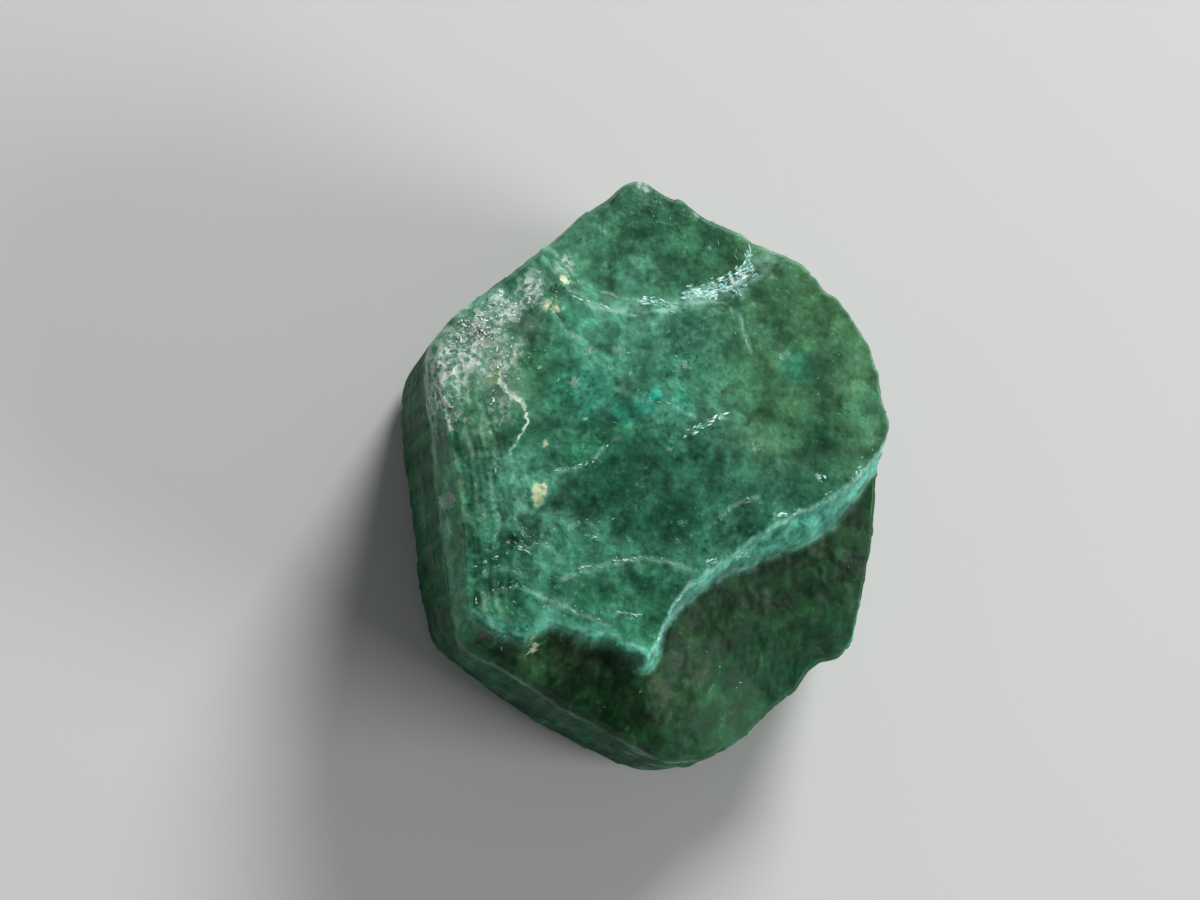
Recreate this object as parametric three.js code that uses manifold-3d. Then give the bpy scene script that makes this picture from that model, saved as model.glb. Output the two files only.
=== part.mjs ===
// A raw emerald crystal: a stub of a hexagonal beryl prism, broken across both ends.
// Millimetres, +Z up along the prism's c-axis, standing on its flat broken base at z = 0.
// The upper end is a plateau with a conchoidal scoop near the +Y corner and a lower
// fracture terrace along the -Y side, where a slab of the end has split away.
import * as THREE from "three";
import { mergeVertices } from "three/addons/utils/BufferGeometryUtils.js";
import Module from "manifold-3d";

const wasm = await Module();
wasm.setup();

// ---- driving dimensions ----------------------------------------------------------------

const HEIGHT = 12.6; // base to the top of the plateau
const GRID = 42; // quads across the upper end
const WALL_ROWS = 8; // quads down each side
const RIM_LEVEL = HEIGHT - 0.5; // where the sides are measured from

// The prism's sides, seen from above: the direction each one faces in degrees from +X, its
// distance from the c-axis at the rim, and how far it moves out per millimetre downwards.
// Six are grown prism faces. The others are breaks across corners.
const SIDES = [
  { faces: -3, out: 10.2, lean: 0 },
  { faces: 14, out: 10.95, lean: -0.05 },
  { faces: 38, out: 11.25, lean: -0.03 },
  { faces: 62, out: 11.2, lean: -0.01 },
  { faces: 96, out: 13.1, lean: -0.17 },
  { faces: 130, out: 10.4, lean: 0.01 },
  { faces: 157, out: 11.2, lean: -0.02 },
  { faces: 187, out: 8.95, lean: 0.012 },
  { faces: 216, out: 11.0, lean: -0.04 },
  { faces: 242, out: 10.15, lean: 0.005 },
  { faces: 281, out: 12.15, lean: 0 },
  { faces: 312, out: 11.35, lean: 0 },
  { faces: 334, out: 12.2, lean: -0.1 },
];
const CORNER_SHARPNESS = 34; // higher is sharper

// Small chips out of the rim, and teeth standing on it, in degrees round it and millimetres.
const CHIPS = [
  { at: 4, half: 5, out: -0.2 },
  { at: 13, half: 6, out: 0.4 },
  { at: 47, half: 3.5, out: -0.2 },
  { at: 76, half: 7, out: -0.22 },
  { at: 92, half: 5, out: 0.3 },
  { at: 111, half: 6, out: -0.15 },
  { at: 316, half: 6, out: -0.25 },
  { at: 324, half: 6, out: 0.35 },
  { at: 346, half: 4, out: 0.18 },
];
const CHIP_DEPTH = 3; // how far down a side a chip fades away

// How far the terrace lowers the upper edge, in which direction most, and how wide.
const EDGE_FALL = { drop: 8.5, at: 300, half: 62 };

// Shallow round scars on the sides, where flakes have come away.
const SCARS = [
  { at: 40, z: 3.4, radius: 4.2, depth: 0.75 },
  { at: 108, z: 5.2, radius: 3.4, depth: 0.55 },
  { at: 228, z: 2.2, radius: 2.6, depth: 0.45 },
  { at: 322, z: 2.0, radius: 3.2, depth: 0.35 },
];

// The bevel between the upper end and the sides, widest on the side facing 187.
const BEVEL = { inset: 0.2, drop: 0.5 };
const LEDGE = { at: 190, half: 52, inset: 0.45, drop: 1.3 };

// The chamfer round the base, and how far the rough form runs below it before it is cut flat.
const BASE = { chamfer: 0.9, rise: 1.0, spare: 0.5 };

// The lower terrace of the upper end, as the outline of the ground it takes up. It runs on
// far past the prism's sides, and its inner edge is the rim of the plateau.
const TERRACE = [
  [-50, -6.3], [-7.7, -6.3], [-6.5, -7.0], [-5.5, -7.2], [-4.5, -6.5], [-3.0, -7.0],
  [-1.6, -7.2], [-0.3, -7.9], [0.3, -6.9], [0.9, -5.5], [1.7, -4.6], [3.0, -3.8],
  [4.5, -3.0], [6.4, -2.2], [7.8, -1.4], [9.0, -0.1], [10.2, 1.6], [40, 6.3],
  [40, -50], [-50, -50],
];
const TERRACE_FORM = { drop: 1.6, fall: 0.4, bow: 0.05, edge: 0.75, ripple: 0.08 };

// Where the wall down to the terrace slopes most gently, how far to each side of there it
// does so, and how far it then starts ahead of the terrace's outline.
const WALL = { widest: 6.2, reach: 4.2, lead: 0.6 };

// The conchoidal scoop under the +Y corner, as the outline of the ground it takes up, which
// runs on far past the corner.
const SCOOP = [
  [-5.2, 9.6], [-3.8, 7.8], [-2.6, 7.0], [-1.3, 6.7], [0.4, 6.8], [2.1, 7.3],
  [3.6, 7.4], [4.9, 8.2], [5.8, 9.3], [25, 50], [-31, 50],
];
const SCOOP_FORM = { drop: 0.7, rise: 0.11, least: 0.15, edge: 0.85 };

// A shallow hollow across the middle of the plateau.
const HOLLOW = [
  [-4.6, -1.2], [-3.8, -0.1], [-2.2, 0.7], [-1.2, 1.6], [1.4, 1.6], [4.8, 1.1],
  [8.6, 0.6], [10.5, -1.5], [6.5, -4.0], [2.6, -5.6], [0.6, -4.4], [-1.6, -4.4], [-3.9, -4.6],
];
const HOLLOW_FORM = { drop: 0.28, edge: 2.2 };

// Points of the upper end within this reach of the terrace's edge are drawn towards it, so
// that the break is crisp. The pull fades out between this share of the way out and the sides.
const DRAW = { reach: 0.9, fadeFrom: 0.9 };

// ---- helpers ---------------------------------------------------------------------------

const radians = (degrees) => (degrees * Math.PI) / 180;
const clamp01 = (t) => Math.min(1, Math.max(0, t));
const smooth = (t) => clamp01(t) ** 2 * (3 - 2 * clamp01(t));
const fromAxis = (r, phi) => [r * Math.cos(radians(phi)), r * Math.sin(radians(phi))];

// How far apart two directions are, in degrees.
const turnBetween = (a, b) => Math.abs(((a - b + 540) % 360) - 180);

// A bump that is 1 at its middle and falls to 0 at each end.
function bump(away, half) {
  const t = away / half;
  return t < 1 ? (1 - t * t) ** 2 : 0;
}

// The nearest point of a closed outline to (x, y), and the distance to it, positive inside.
function nearestOn(outline, x, y) {
  let best = { distance: Infinity };
  let inside = false;
  outline.forEach(([ax, ay], i) => {
    const [bx, by] = outline[(i + 1) % outline.length];
    const [dx, dy] = [bx - ax, by - ay];
    const share = clamp01(((x - ax) * dx + (y - ay) * dy) / (dx * dx + dy * dy));
    const point = [ax + share * dx, ay + share * dy];
    const distance = Math.hypot(x - point[0], y - point[1]);
    if (distance < best.distance) best = { distance, point };
    if (ay > y !== by > y && x < (dx * (y - ay)) / dy + ax) inside = !inside;
  });
  return { point: best.point, depth: inside ? best.distance : -best.distance };
}

// ---- the crystal's form ----------------------------------------------------------------

// The prism's radius in direction phi (degrees) at height z.
function sideRadius(phi, z) {
  const below = Math.max(0, RIM_LEVEL - z);
  let sum = 0;
  for (const { faces, out, lean } of SIDES) {
    const toward = Math.cos(radians(phi - faces));
    if (toward > 0.05) sum += (toward / (out + lean * below)) ** CORNER_SHARPNESS;
  }
  let r = sum ** (-1 / CORNER_SHARPNESS);
  const fall = EDGE_FALL.drop * bump(turnBetween(phi, EDGE_FALL.at), EDGE_FALL.half);
  const fade = Math.exp(-Math.max(0, below - fall) / CHIP_DEPTH);
  for (const chip of CHIPS) r += chip.out * fade * bump(turnBetween(phi, chip.at), chip.half);
  for (const scar of SCARS) {
    const across = radians(turnBetween(phi, scar.at)) * r;
    r -= scar.depth * bump(Math.hypot(across, z - scar.z), scar.radius);
  }
  return r;
}

// The height of the plateau before anything is broken out of it.
function plateauHeight(x, y) {
  const swell = 0.16 * Math.sin(0.42 * x + 0.8) * Math.cos(0.36 * y - 0.5);
  const rightFall = 0.011 * Math.max(0, x - 1) ** 2;
  const cornerFall = 0.02 * Math.max(0, y - 6) ** 2;
  return HEIGHT - 0.2 + swell - rightFall - cornerFall;
}

// The height of the lower terrace, which falls away from the rim in a long curve.
function terraceHeight(x, y, along) {
  const { drop, fall, bow, ripple } = TERRACE_FORM;
  const waves = ripple * Math.sin(2.4 * along + 0.35 * x) * smooth(along / 1.5);
  return plateauHeight(x, y) - drop - fall * along - bow * along * along + waves;
}

// The height of the broken upper end.
function topHeight(x, y) {
  let z = plateauHeight(x, y);
  const hollow = nearestOn(HOLLOW, x, y).depth;
  z -= HOLLOW_FORM.drop * smooth(hollow / HOLLOW_FORM.edge);
  const scoop = Math.max(0, nearestOn(SCOOP, x, y).depth);
  const scoopDrop = Math.max(SCOOP_FORM.least, SCOOP_FORM.drop - SCOOP_FORM.rise * scoop);
  z -= scoopDrop * smooth(scoop / SCOOP_FORM.edge);
  const wide = bump(Math.abs(x - WALL.widest), WALL.reach);
  const terrace = Math.max(0, nearestOn(TERRACE, x, y).depth + WALL.lead * wide);
  const share = clamp01(terrace / (TERRACE_FORM.edge * (0.75 + wide)));
  const split = 0.5 * share + 0.5 * smooth(share);
  return z + (terraceHeight(x, y, terrace) - z) * split;
}

// How far the bevel pulls the upper end's edge in, and how far down it reaches.
function bevelAt(phi) {
  const ledge = bump(turnBetween(phi, LEDGE.at), LEDGE.half);
  return { inset: BEVEL.inset + LEDGE.inset * ledge, drop: BEVEL.drop + LEDGE.drop * ledge };
}

const edgeRadius = (phi) => sideRadius(phi, RIM_LEVEL) - bevelAt(phi).inset;
const edgeHeight = (phi) => topHeight(...fromAxis(edgeRadius(phi), phi));

// A point of the upper end: share runs from 0 at the c-axis to 1 at its edge.
function topPoint(share, phi) {
  const [x, y] = fromAxis(share * edgeRadius(phi), phi);
  const { point, depth } = nearestOn(TERRACE, x, y);
  const fade = 1 - smooth((share - DRAW.fadeFrom) / (1 - DRAW.fadeFrom));
  const pull = fade * (1 - smooth(Math.abs(depth) / DRAW.reach));
  const drawn = [x + (point[0] - x) * pull, y + (point[1] - y) * pull];
  return [...drawn, topHeight(...drawn)];
}

// A point of a side: share runs from 0 at the upper edge to 1 under the base.
function sidePoint(share, phi) {
  const top = edgeHeight(phi);
  const z = top - (top + BASE.spare) * share;
  const { inset, drop } = bevelAt(phi);
  const bevel = inset * (1 - smooth((top - z) / drop));
  const chamfer = BASE.chamfer * (1 - smooth(z / BASE.rise));
  return [...fromAxis(sideRadius(phi, z) - bevel - chamfer, phi), z];
}

function basePoint(share, phi) {
  const [x, y, z] = sidePoint(1, phi);
  return [x * share, y * share, z];
}

// ---- the solid -------------------------------------------------------------------------

// A square's point as a disc's: its ring, from 0 to 1, and its direction in degrees.
function squareToDisc(u, v) {
  const ring = Math.max(Math.abs(u), Math.abs(v));
  if (ring === 0) return [0, 0];
  const alongX = Math.abs(u) >= Math.abs(v);
  const eighth = alongX ? (45 * v) / u : 90 - (45 * u) / v;
  const turned = (alongX ? u : v) < 0 ? eighth + 180 : eighth;
  return [ring, (turned + 360) % 360];
}

// A box with many segments whose ends become the crystal's ends and whose sides its sides.
function roughGeometry() {
  const box = new THREE.BoxGeometry(2, 2, 2, GRID, GRID, WALL_ROWS);
  box.deleteAttribute("normal");
  box.deleteAttribute("uv");
  const geometry = mergeVertices(box);
  const position = geometry.getAttribute("position");
  for (let i = 0; i < position.count; i++) {
    const [u, v, w] = [position.getX(i), position.getY(i), position.getZ(i)];
    const [ring, phi] = squareToDisc(u, v);
    const end = Math.abs(w) > 1 - 1e-6;
    const point = !end ? sidePoint((1 - w) / 2, phi) : w > 0 ? topPoint(ring, phi) : basePoint(ring, phi);
    position.setXYZ(i, ...point);
  }
  return geometry;
}

function solidOf(geometry) {
  return new wasm.Manifold(
    new wasm.Mesh({
      numProp: 3,
      vertProperties: new Float32Array(geometry.getAttribute("position").array),
      triVerts: new Uint32Array(geometry.index.array),
    }),
  );
}

function geometryOf(solid) {
  const mesh = solid.getMesh();
  const geometry = new THREE.BufferGeometry();
  geometry.setAttribute("position", new THREE.BufferAttribute(mesh.vertProperties, 3));
  geometry.setIndex(new THREE.BufferAttribute(mesh.triVerts, 1));
  geometry.computeVertexNormals();
  return geometry;
}

// The rough form, cut flat at z = 0 where the stub broke away from the rest of the prism,
// and moved so that the middle of its bounding box is over the origin.
function crystalGeometry() {
  const reach = 4 * HEIGHT;
  const keep = new THREE.BoxGeometry(reach, reach, reach);
  keep.deleteAttribute("normal");
  keep.deleteAttribute("uv");
  keep.translate(0, 0, reach / 2);
  const cut = geometryOf(solidOf(roughGeometry()).intersect(solidOf(mergeVertices(keep))));
  cut.computeBoundingBox();
  const middle = cut.boundingBox.getCenter(new THREE.Vector3());
  return cut.translate(-middle.x, -middle.y, 0);
}

const emerald = new THREE.MeshStandardMaterial({
  name: "emerald",
  color: new THREE.Color(0.035, 0.2, 0.11),
  roughness: 0.3,
  metalness: 0,
});

const crystal = new THREE.Mesh(crystalGeometry(), emerald);
crystal.name = "emerald_crystal";

const group = new THREE.Group();
group.add(crystal);
export default group;
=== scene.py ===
"""A raw emerald crystal: a stub of a hexagonal beryl prism, broken across both ends.

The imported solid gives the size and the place. The form below is that solid's form, with the
small breaks, ledges, ripples and chips that it is too coarse to hold. Lengths are millimetres
in the prism's own axes, +Z along its c-axis, until Placing turns them into the frame's metres.
"""

import math
from functools import reduce

import bpy
import numpy as np
from mathutils import Matrix, Vector


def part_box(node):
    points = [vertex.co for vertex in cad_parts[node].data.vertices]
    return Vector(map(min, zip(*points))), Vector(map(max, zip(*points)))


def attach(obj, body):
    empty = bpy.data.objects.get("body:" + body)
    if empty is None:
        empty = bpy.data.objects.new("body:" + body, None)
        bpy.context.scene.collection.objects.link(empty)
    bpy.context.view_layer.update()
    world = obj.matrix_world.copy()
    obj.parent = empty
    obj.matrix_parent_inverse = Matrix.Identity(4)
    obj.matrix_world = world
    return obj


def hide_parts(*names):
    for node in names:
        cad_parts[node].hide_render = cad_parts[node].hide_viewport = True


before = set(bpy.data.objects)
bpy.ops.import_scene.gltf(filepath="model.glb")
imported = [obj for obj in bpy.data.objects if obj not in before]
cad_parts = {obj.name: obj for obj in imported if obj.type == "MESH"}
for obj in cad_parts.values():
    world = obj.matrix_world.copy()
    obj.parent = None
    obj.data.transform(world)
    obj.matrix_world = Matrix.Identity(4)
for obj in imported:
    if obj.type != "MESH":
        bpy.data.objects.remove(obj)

NODE = "emerald_crystal"
MM = 0.001
SEED = 7

# ---- the form's driving dimensions ----

HEIGHT = 12.6  # base to the top of the plateau
RIM_LEVEL = HEIGHT - 0.5  # where the sides are measured from

# The prism's sides from above: the way each faces in degrees from +X, its distance from the
# c-axis at the rim, and how far it moves out per millimetre downwards.
SIDES = (
    (-3, 10.2, 0), (14, 10.95, -0.05), (38, 11.25, -0.03), (62, 11.2, -0.01),
    (96, 13.1, -0.17), (130, 10.4, 0.01), (157, 11.2, -0.02), (187, 8.95, 0.012),
    (216, 11.0, -0.04), (242, 10.15, 0.005), (281, 12.15, 0), (312, 11.35, 0),
    (334, 12.2, -0.1),
)
CORNER_SHARPNESS = 34
MEAN_RADIUS = 10.5

# Chips out of the rim and teeth on it: where, half width in degrees, and how far out.
CHIPS = (
    (4, 5, -0.2), (13, 6, 0.4), (22, 2.2, -0.12), (31, 3, 0.1), (47, 3.5, -0.2),
    (55, 2, 0.1), (66, 2.5, -0.12), (76, 7, -0.22), (83, 2, 0.1), (92, 5, 0.3),
    (99, 2.5, -0.1), (111, 6, -0.15), (316, 6, -0.25), (324, 6, 0.35), (346, 4, 0.18),
)
CHIP_DEPTH = 3.0
EDGE_FALL, EDGE_FALL_AT, EDGE_FALL_HALF = 8.5, 300, 62  # how the terrace lowers the upper edge

# Round scars on the sides: direction, height, radius and depth.
SCARS = (
    (40, 3.4, 4.2, 0.75), (108, 5.2, 3.4, 0.55), (228, 2.2, 2.6, 0.45), (322, 2.0, 3.2, 0.35),
    (14, 7.5, 1.6, 0.3), (66, 8.6, 1.3, 0.25), (137, 2.6, 2.0, 0.3), (262, 3.6, 1.7, 0.25),
    (290, 6.0, 1.5, 0.25), (350, 4.2, 2.0, 0.3), (182, 4.4, 1.5, 0.16), (204, 8.6, 1.0, 0.14),
)

BEVEL_INSET, BEVEL_DROP = 0.2, 0.5
LEDGE_AT, LEDGE_HALF, LEDGE_INSET, LEDGE_DROP = 190, 52, 0.45, 1.3
CHAMFER, CHAMFER_RISE = 0.9, 1.0

# The lower terrace's ground. Its inner edge is the rim of the plateau.
TERRACE = (
    (-50, -6.3), (-7.7, -6.3), (-6.5, -7.0), (-5.5, -7.2), (-4.5, -6.5), (-3.0, -7.0),
    (-1.6, -7.2), (-0.3, -7.9), (0.3, -6.9), (0.9, -5.5), (1.7, -4.6), (3.0, -3.8),
    (4.5, -3.0), (6.4, -2.2), (7.8, -1.4), (9.0, -0.1), (10.2, 1.6), (40, 6.3),
    (40, -50), (-50, -50),
)
TERRACE_DROP, TERRACE_FALL, TERRACE_BOW, TERRACE_EDGE = 1.6, 0.4, 0.05, 0.75
WALL_WIDEST, WALL_REACH, WALL_LEAD = 6.2, 4.2, 0.6  # where the break's wall slopes most gently

# The conchoidal scoop under the +Y corner, and the shallow hollow across the middle.
SCOOP = (
    (-5.2, 9.6), (-3.8, 7.8), (-2.6, 7.0), (-1.3, 6.7), (0.4, 6.8), (2.1, 7.3),
    (3.6, 7.4), (4.9, 8.2), (5.8, 9.3), (25, 50), (-31, 50),
)
SCOOP_DROP, SCOOP_RISE, SCOOP_LEAST, SCOOP_EDGE = 0.7, 0.11, 0.15, 0.85
HOLLOW = (
    (-4.6, -1.2), (-3.8, -0.1), (-2.2, 0.7), (-1.2, 1.6), (1.4, 1.6), (4.8, 1.1),
    (8.6, 0.6), (10.5, -1.5), (6.5, -4.0), (2.6, -5.6), (0.6, -4.4), (-1.6, -4.4), (-3.9, -4.6),
)
HOLLOW_DROP, HOLLOW_EDGE = 0.28, 2.2

# The left side: the way it faces, and how many degrees its ledges and fibres fade over.
LEFT_SIDE, LEFT_FADE = 183, 14
# Steps down towards the left edge: distance in from the edge, and height.
LEFT_STEPS = (
    (0.16, 0.08), (0.38, 0.06), (0.62, 0.07), (0.9, 0.05), (1.25, 0.06), (1.6, 0.04), (2.1, 0.05),
)

# ---- features of the upper end, as lines and patches across it ----

# Hairline cracks across the plateau.
CRACKS = (
    ((-4.0, 0.04), (-3.3, 0.12), (-2.5, 0.5), (-1.9, 1.2), (-1.5, 1.45)),
    ((-4.0, -4.6), (-3.4, -4.4), (-2.55, -4.1), (-1.7, -3.9), (-0.4, -3.6), (0.6, -3.7), (1.7, -4.1)),
    ((-7.4, -3.6), (-6.2, -3.0), (-5.2, -3.2), (-4.2, -2.4)),
    ((-6.9, -5.2), (-5.8, -4.9), (-4.6, -5.4), (-3.2, -6.0), (-1.9, -6.5)),
    ((3.8, 6.9), (3.9, 6.1), (4.25, 5.3)),
    ((-5.4, -0.9), (-5.9, -2.0), (-5.3, -2.9), (-4.4, -3.2)),
    ((-6.6, 0.9), (-6.9, -0.8), (-6.5, -2.3), (-6.9, -3.4)), ((-7.6, -4.6), (-6.6, -4.1), (-5.6, -4.4)),
    ((-3.6, -2.4), (-2.8, -2.0), (-2.3, -2.6)), ((-4.2, 6.6), (-3.6, 5.9), (-2.8, 5.6)),
    ((2.6, -2.2), (3.4, -1.3), (4.6, -0.9)), ((-1.6, 3.6), (-0.6, 3.1), (0.8, 2.9), (1.8, 2.4)),
)
# A pale vein down from the crust.
VEIN = (
    (-6.7, 4.0), (-6.4, 3.5), (-5.9, 3.0), (-5.5, 2.7), (-5.4, 2.1), (-5.6, 1.6),
    (-6.0, 0.85), (-6.1, 0.0), (-6.0, -0.6),
)
# The scoop's slope, and the bright line along the upper part of it, both painted pale there as highlights.
SCOOP_SLOPE = (
    (-3.6, 7.9), (-2.7, 7.2), (-1.3, 6.95), (0.3, 7.05), (1.9, 7.5), (3.2, 7.9), (4.4, 8.7),
    (5.2, 9.4),
)
SCOOP_LINE = (
    (-3.5, 7.5), (-2.8, 7.15), (-1.9, 6.9), (-0.9, 6.8), (0.3, 6.9), (1.5, 7.25), (2.6, 7.5),
)
# The bright edge where the plateau breaks down to the terrace.
GLASSY_RIM = (
    (-0.3, -7.6), (0.5, -6.4), (1.4, -5.1), (2.3, -4.2), (3.3, -3.6), (4.6, -2.9), (6.0, -2.2),
    (7.3, -1.6), (8.4, -0.5), (9.2, 0.5), (10.0, 1.8),
)
# The plateau's broken edge, left of the glassy rim.
RIDGE = (
    (-7.7, -6.0), (-6.4, -6.8), (-5.5, -7.0), (-4.5, -6.3), (-3.0, -6.8), (-1.7, -7.0), (-0.4, -7.6),
)
# Short stretches where the break shines: the line, shards to a millimetre, and half width.
GLINTS = (
    (((2.2, -3.8), (2.6, -3.65)), 22, 0.06), (((3.5, -3.5), (4.3, -3.3)), 22, 0.08),
    (((5.3, -1.75), (6.5, -1.4)), 12, 0.08), (((7.1, -1.0), (7.9, -0.6)), 10, 0.08),
    (((8.6, -0.1), (9.1, 0.5)), 16, 0.07), (((0.9, -5.6), (1.6, -4.7)), 14, 0.05),
    (((1.7, 7.8), (2.6, 8.0), (3.2, 8.2), (3.9, 8.6), (4.25, 9.0)), 90, 0.17),
    (((2.9, 8.3), (3.5, 8.5)), 60, 0.12), (((3.3, 8.0), (3.8, 7.7)), 40, 0.1),
    (((4.25, 9.3), (4.35, 9.8)), 60, 0.08),
    (((-0.5, 7.5), (0.2, 7.4), (0.9, 7.1)), 50, 0.11), (((-3.4, 7.45), (-1.8, 6.95)), 14, 0.03),
    (((-1.6, -6.0), (-0.55, -6.1)), 34, 0.03), (((-3.2, -4.15), (-2.6, -4.0)), 30, 0.04),
    (((-3.9, -4.55), (-3.4, -4.35)), 24, 0.04), (((-1.8, -3.85), (-0.85, -3.7)), 22, 0.04),
    (((-4.2, 0.0), (-3.2, 0.15), (-2.4, 0.55)), 18, 0.04), (((-0.1, -7.5), (0.5, -6.7)), 22, 0.05),
    (((-7.4, -4.0), (-6.7, -3.8)), 16, 0.03), (((-3.0, -2.7), (-2.4, -2.8)), 14, 0.04),
    (((1.4, 1.6), (3.0, 2.4)), 7, 0.12), (((7.0, 0.1), (7.4, -0.1)), 30, 0.08),
    (((-6.2, -3.1), (-5.2, -3.6)), 10, 0.04),
)
# Soft grey and brown clouds: centre, radius and strength.
BLOTCHES = (
    (7.7, -2.9, 0.55, 1.0), (5.8, -5.1, 0.7, 0.7), (4.1, -5.0, 0.5, 0.7), (5.2, -3.9, 0.5, 0.5),
    (2.4, -8.3, 0.9, 0.6), (0.9, -9.4, 1.2, 0.6), (-3.6, -8.0, 0.9, 1.0), (-2.3, -8.0, 0.6, 0.8),
    (7.0, -5.6, 0.22, 0.8), (4.9, -6.4, 0.25, 0.7), (3.3, -6.2, 0.3, 0.6), (6.3, -3.3, 0.2, 0.9),
    (1.9, -6.9, 0.22, 0.7), (3.9, -8.3, 0.25, 0.6), (8.6, -3.6, 0.2, 0.8), (8.2, -1.6, 0.2, 0.7),
    (0.2, -8.4, 0.5, 0.5), (6.8, -4.2, 0.4, 0.4), (2.2, -3.0, 0.6, 0.35), (-5.2, -7.7, 0.7, 0.6),
)
# More patches, in the same form: what clings to the stone, and how its colour varies.
CREAM = (
    (-3.8, 8.1, 0.6, 1.0), (-4.4, 7.0, 0.8, 0.7), (-7.7, 5.9, 0.45, 1.0), (-4.75, -0.8, 0.5, 1.3),
    (-4.95, -1.25, 0.4, 1.2), (-6.8, 3.9, 0.4, 1.0), (-5.0, -7.5, 0.7, 0.6), (-4.6, 1.2, 0.3, 0.6),
    (-5.2, 6.1, 0.5, 0.3),
)
CRUST = (
    (-8.4, 4.7, 2.1, 1.0), (-7.5, 6.1, 1.5, 0.95), (-6.4, 6.9, 1.2, 0.85), (-9.0, 3.2, 1.3, 0.85),
    (-5.2, 7.8, 1.2, 0.7), (-8.6, 1.9, 1.0, 0.5), (-6.5, 4.8, 1.5, 0.6), (-3.8, 8.9, 0.8, 0.45),
    (-0.3, 12.5, 0.45, 0.7), (1.9, 11.2, 0.35, 0.5), (-2.3, 10.4, 0.5, 0.35), (-6.6, 2.6, 1.2, 0.35),
)
# Frost, and a painted sheen on the smooth bevel at the upper left corner.
FROST_AND_SHEEN = (
    (-9.2, 4.0, 1.3, 0.9), (-8.6, 5.2, 1.5, 0.8), (-7.3, 5.2, 2.0, 0.85), (-6.6, 3.3, 1.7, 0.5),
    (-9.0, 2.2, 1.0, 0.8), (-8.9, 0.6, 0.9, 0.25), (-7.4, 1.2, 1.5, 0.35), (-5.6, 6.4, 1.6, 0.4),
    (-4.2, 8.2, 1.4, 0.3),
)
PALE_SPOTS = (
    (-5.9, 4.9, 0.2, 0.8), (-4.9, 4.4, 0.15, 0.8), (-3.9, 6.6, 0.16, 0.8), (-1.0, 4.3, 0.14, 0.7),
    (-7.0, 1.6, 0.22, 0.6), (-2.9, 2.2, 0.14, 0.7), (-0.3, 0.1, 0.16, 0.6), (3.3, 7.0, 0.16, 0.7),
    (2.3, 2.3, 0.22, 0.8), (2.9, 2.3, 0.25, 0.9), (4.3, 1.1, 0.28, 0.7), (7.2, 0.0, 0.3, 0.9),
    (2.0, 6.2, 0.3, 0.6), (1.3, 4.5, 0.5, 0.5), (-2.8, 5.1, 0.24, 1.0), (-1.6, 5.2, 0.26, 0.7),
    (-3.4, 3.8, 0.32, 1.0), (-9.2, -1.1, 0.3, 1.0), (0.6, 0.9, 0.2, 0.6), (5.6, 5.2, 0.3, 0.35),
    (-0.6, 9.2, 0.3, 0.4), (2.6, 9.8, 0.25, 0.4), (-2.0, 8.8, 0.4, 0.35),
)
# Painted glow, where light flashes back from inside the stone.
GLOW = (
    (0.0, 3.2, 0.6, 1.0), (-0.5, 2.9, 0.9, 0.6), (-1.4, 2.5, 0.9, 0.4), (1.0, 3.0, 0.9, 0.3),
    (-6.3, -3.6, 2.0, 0.1), (-5.4, -5.5, 1.3, 0.1), (-3.0, 3.4, 2.2, 0.25), (6.2, 4.7, 1.2, 0.3),
)
LIGHT = (
    (-2.7, 4.7, 2.6, 0.55), (-1.0, 6.2, 1.7, 0.4), (-0.9, 8.3, 1.7, 0.55), (2.2, 1.9, 1.6, 0.4),
    (3.6, 0.6, 1.4, 0.3), (-5.0, 0.4, 1.6, 0.35), (-4.9, -5.5, 1.2, 0.25), (-1.2, -5.9, 1.1, 0.35),
    (-7.3, -5.0, 1.0, 0.2), (5.0, 6.0, 1.3, 0.3), (9.3, 3.0, 1.2, 0.4), (-2.2, -4.3, 0.9, 0.3),
)
SHADE = (
    (-6.4, -3.4, 2.4, 0.8), (-7.4, -0.6, 1.7, 0.7), (-5.6, -5.6, 1.0, 0.4), (5.4, 3.2, 2.2, 0.3),
    (-8.0, -3.0, 1.4, 0.75), (7.4, 1.6, 2.6, 1.0), (-3.2, -1.5, 1.9, 0.9), (-1.2, -1.3, 2.0, 0.8),
    (0.9, -2.2, 2.2, 0.9), (3.8, -2.0, 1.6, 0.6), (2.9, 10.0, 2.0, 0.75), (0.6, 10.8, 1.7, 0.5),
    (-0.2, -4.9, 1.0, 0.6), (0.0, 11.6, 2.4, 0.7), (-2.4, -5.1, 0.9, 0.4), (6.4, 1.8, 1.9, 0.8),
    (7.2, 4.0, 1.6, 0.2), (-6.0, -4.9, 2.5, 0.75), (5.4, 7.6, 1.6, 0.4), (-5.3, -2.8, 1.2, 0.45),
    (-6.2, -1.2, 1.0, 0.35), (-3.0, -3.3, 1.1, 0.45), (5.6, -0.4, 1.2, 0.4), (-4.6, -6.2, 0.6, 0.3),
)
STAIN = (
    (-7.2, -6.9, 0.22, 1.0), (-4.3, 6.9, 0.3, 0.5), (-4.9, 1.6, 0.3, 0.35), (4.4, 2.9, 0.7, 0.25),
    (9.0, 6.2, 0.6, 0.45), (2.3, -4.9, 0.5, 0.25), (0.8, -5.0, 0.6, 0.3),
)

# How many there are of each thing sealed in the stone or clinging to it.
VEILS, FEATHERS, SPECKS, CRUST_GRAINS, CRUST_FLAKES = 46, 4200, 900, 500, 1000

PROUD = 0.008  # how far slivers and flakes stand off the stone
PLATE_THICKNESS, VEIL_THICKNESS = 0.012, 0.03
GRAIN_FLATNESS = 0.6
FACET_SLOPE = 0.6  # how steeply the stone's small facets tilt

# ---- numbers for the mesh ----

GRID = 232  # quads across the upper end; a multiple of 4
UPPER_ROWS, UPPER_SHARE = 18, 0.15  # fine rows down the first part of the sides
LOWER_ROWS = 52

# ---- helpers ----


def smooth(t):
    t = np.clip(t, 0, 1)
    return t * t * (3 - 2 * t)


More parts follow.
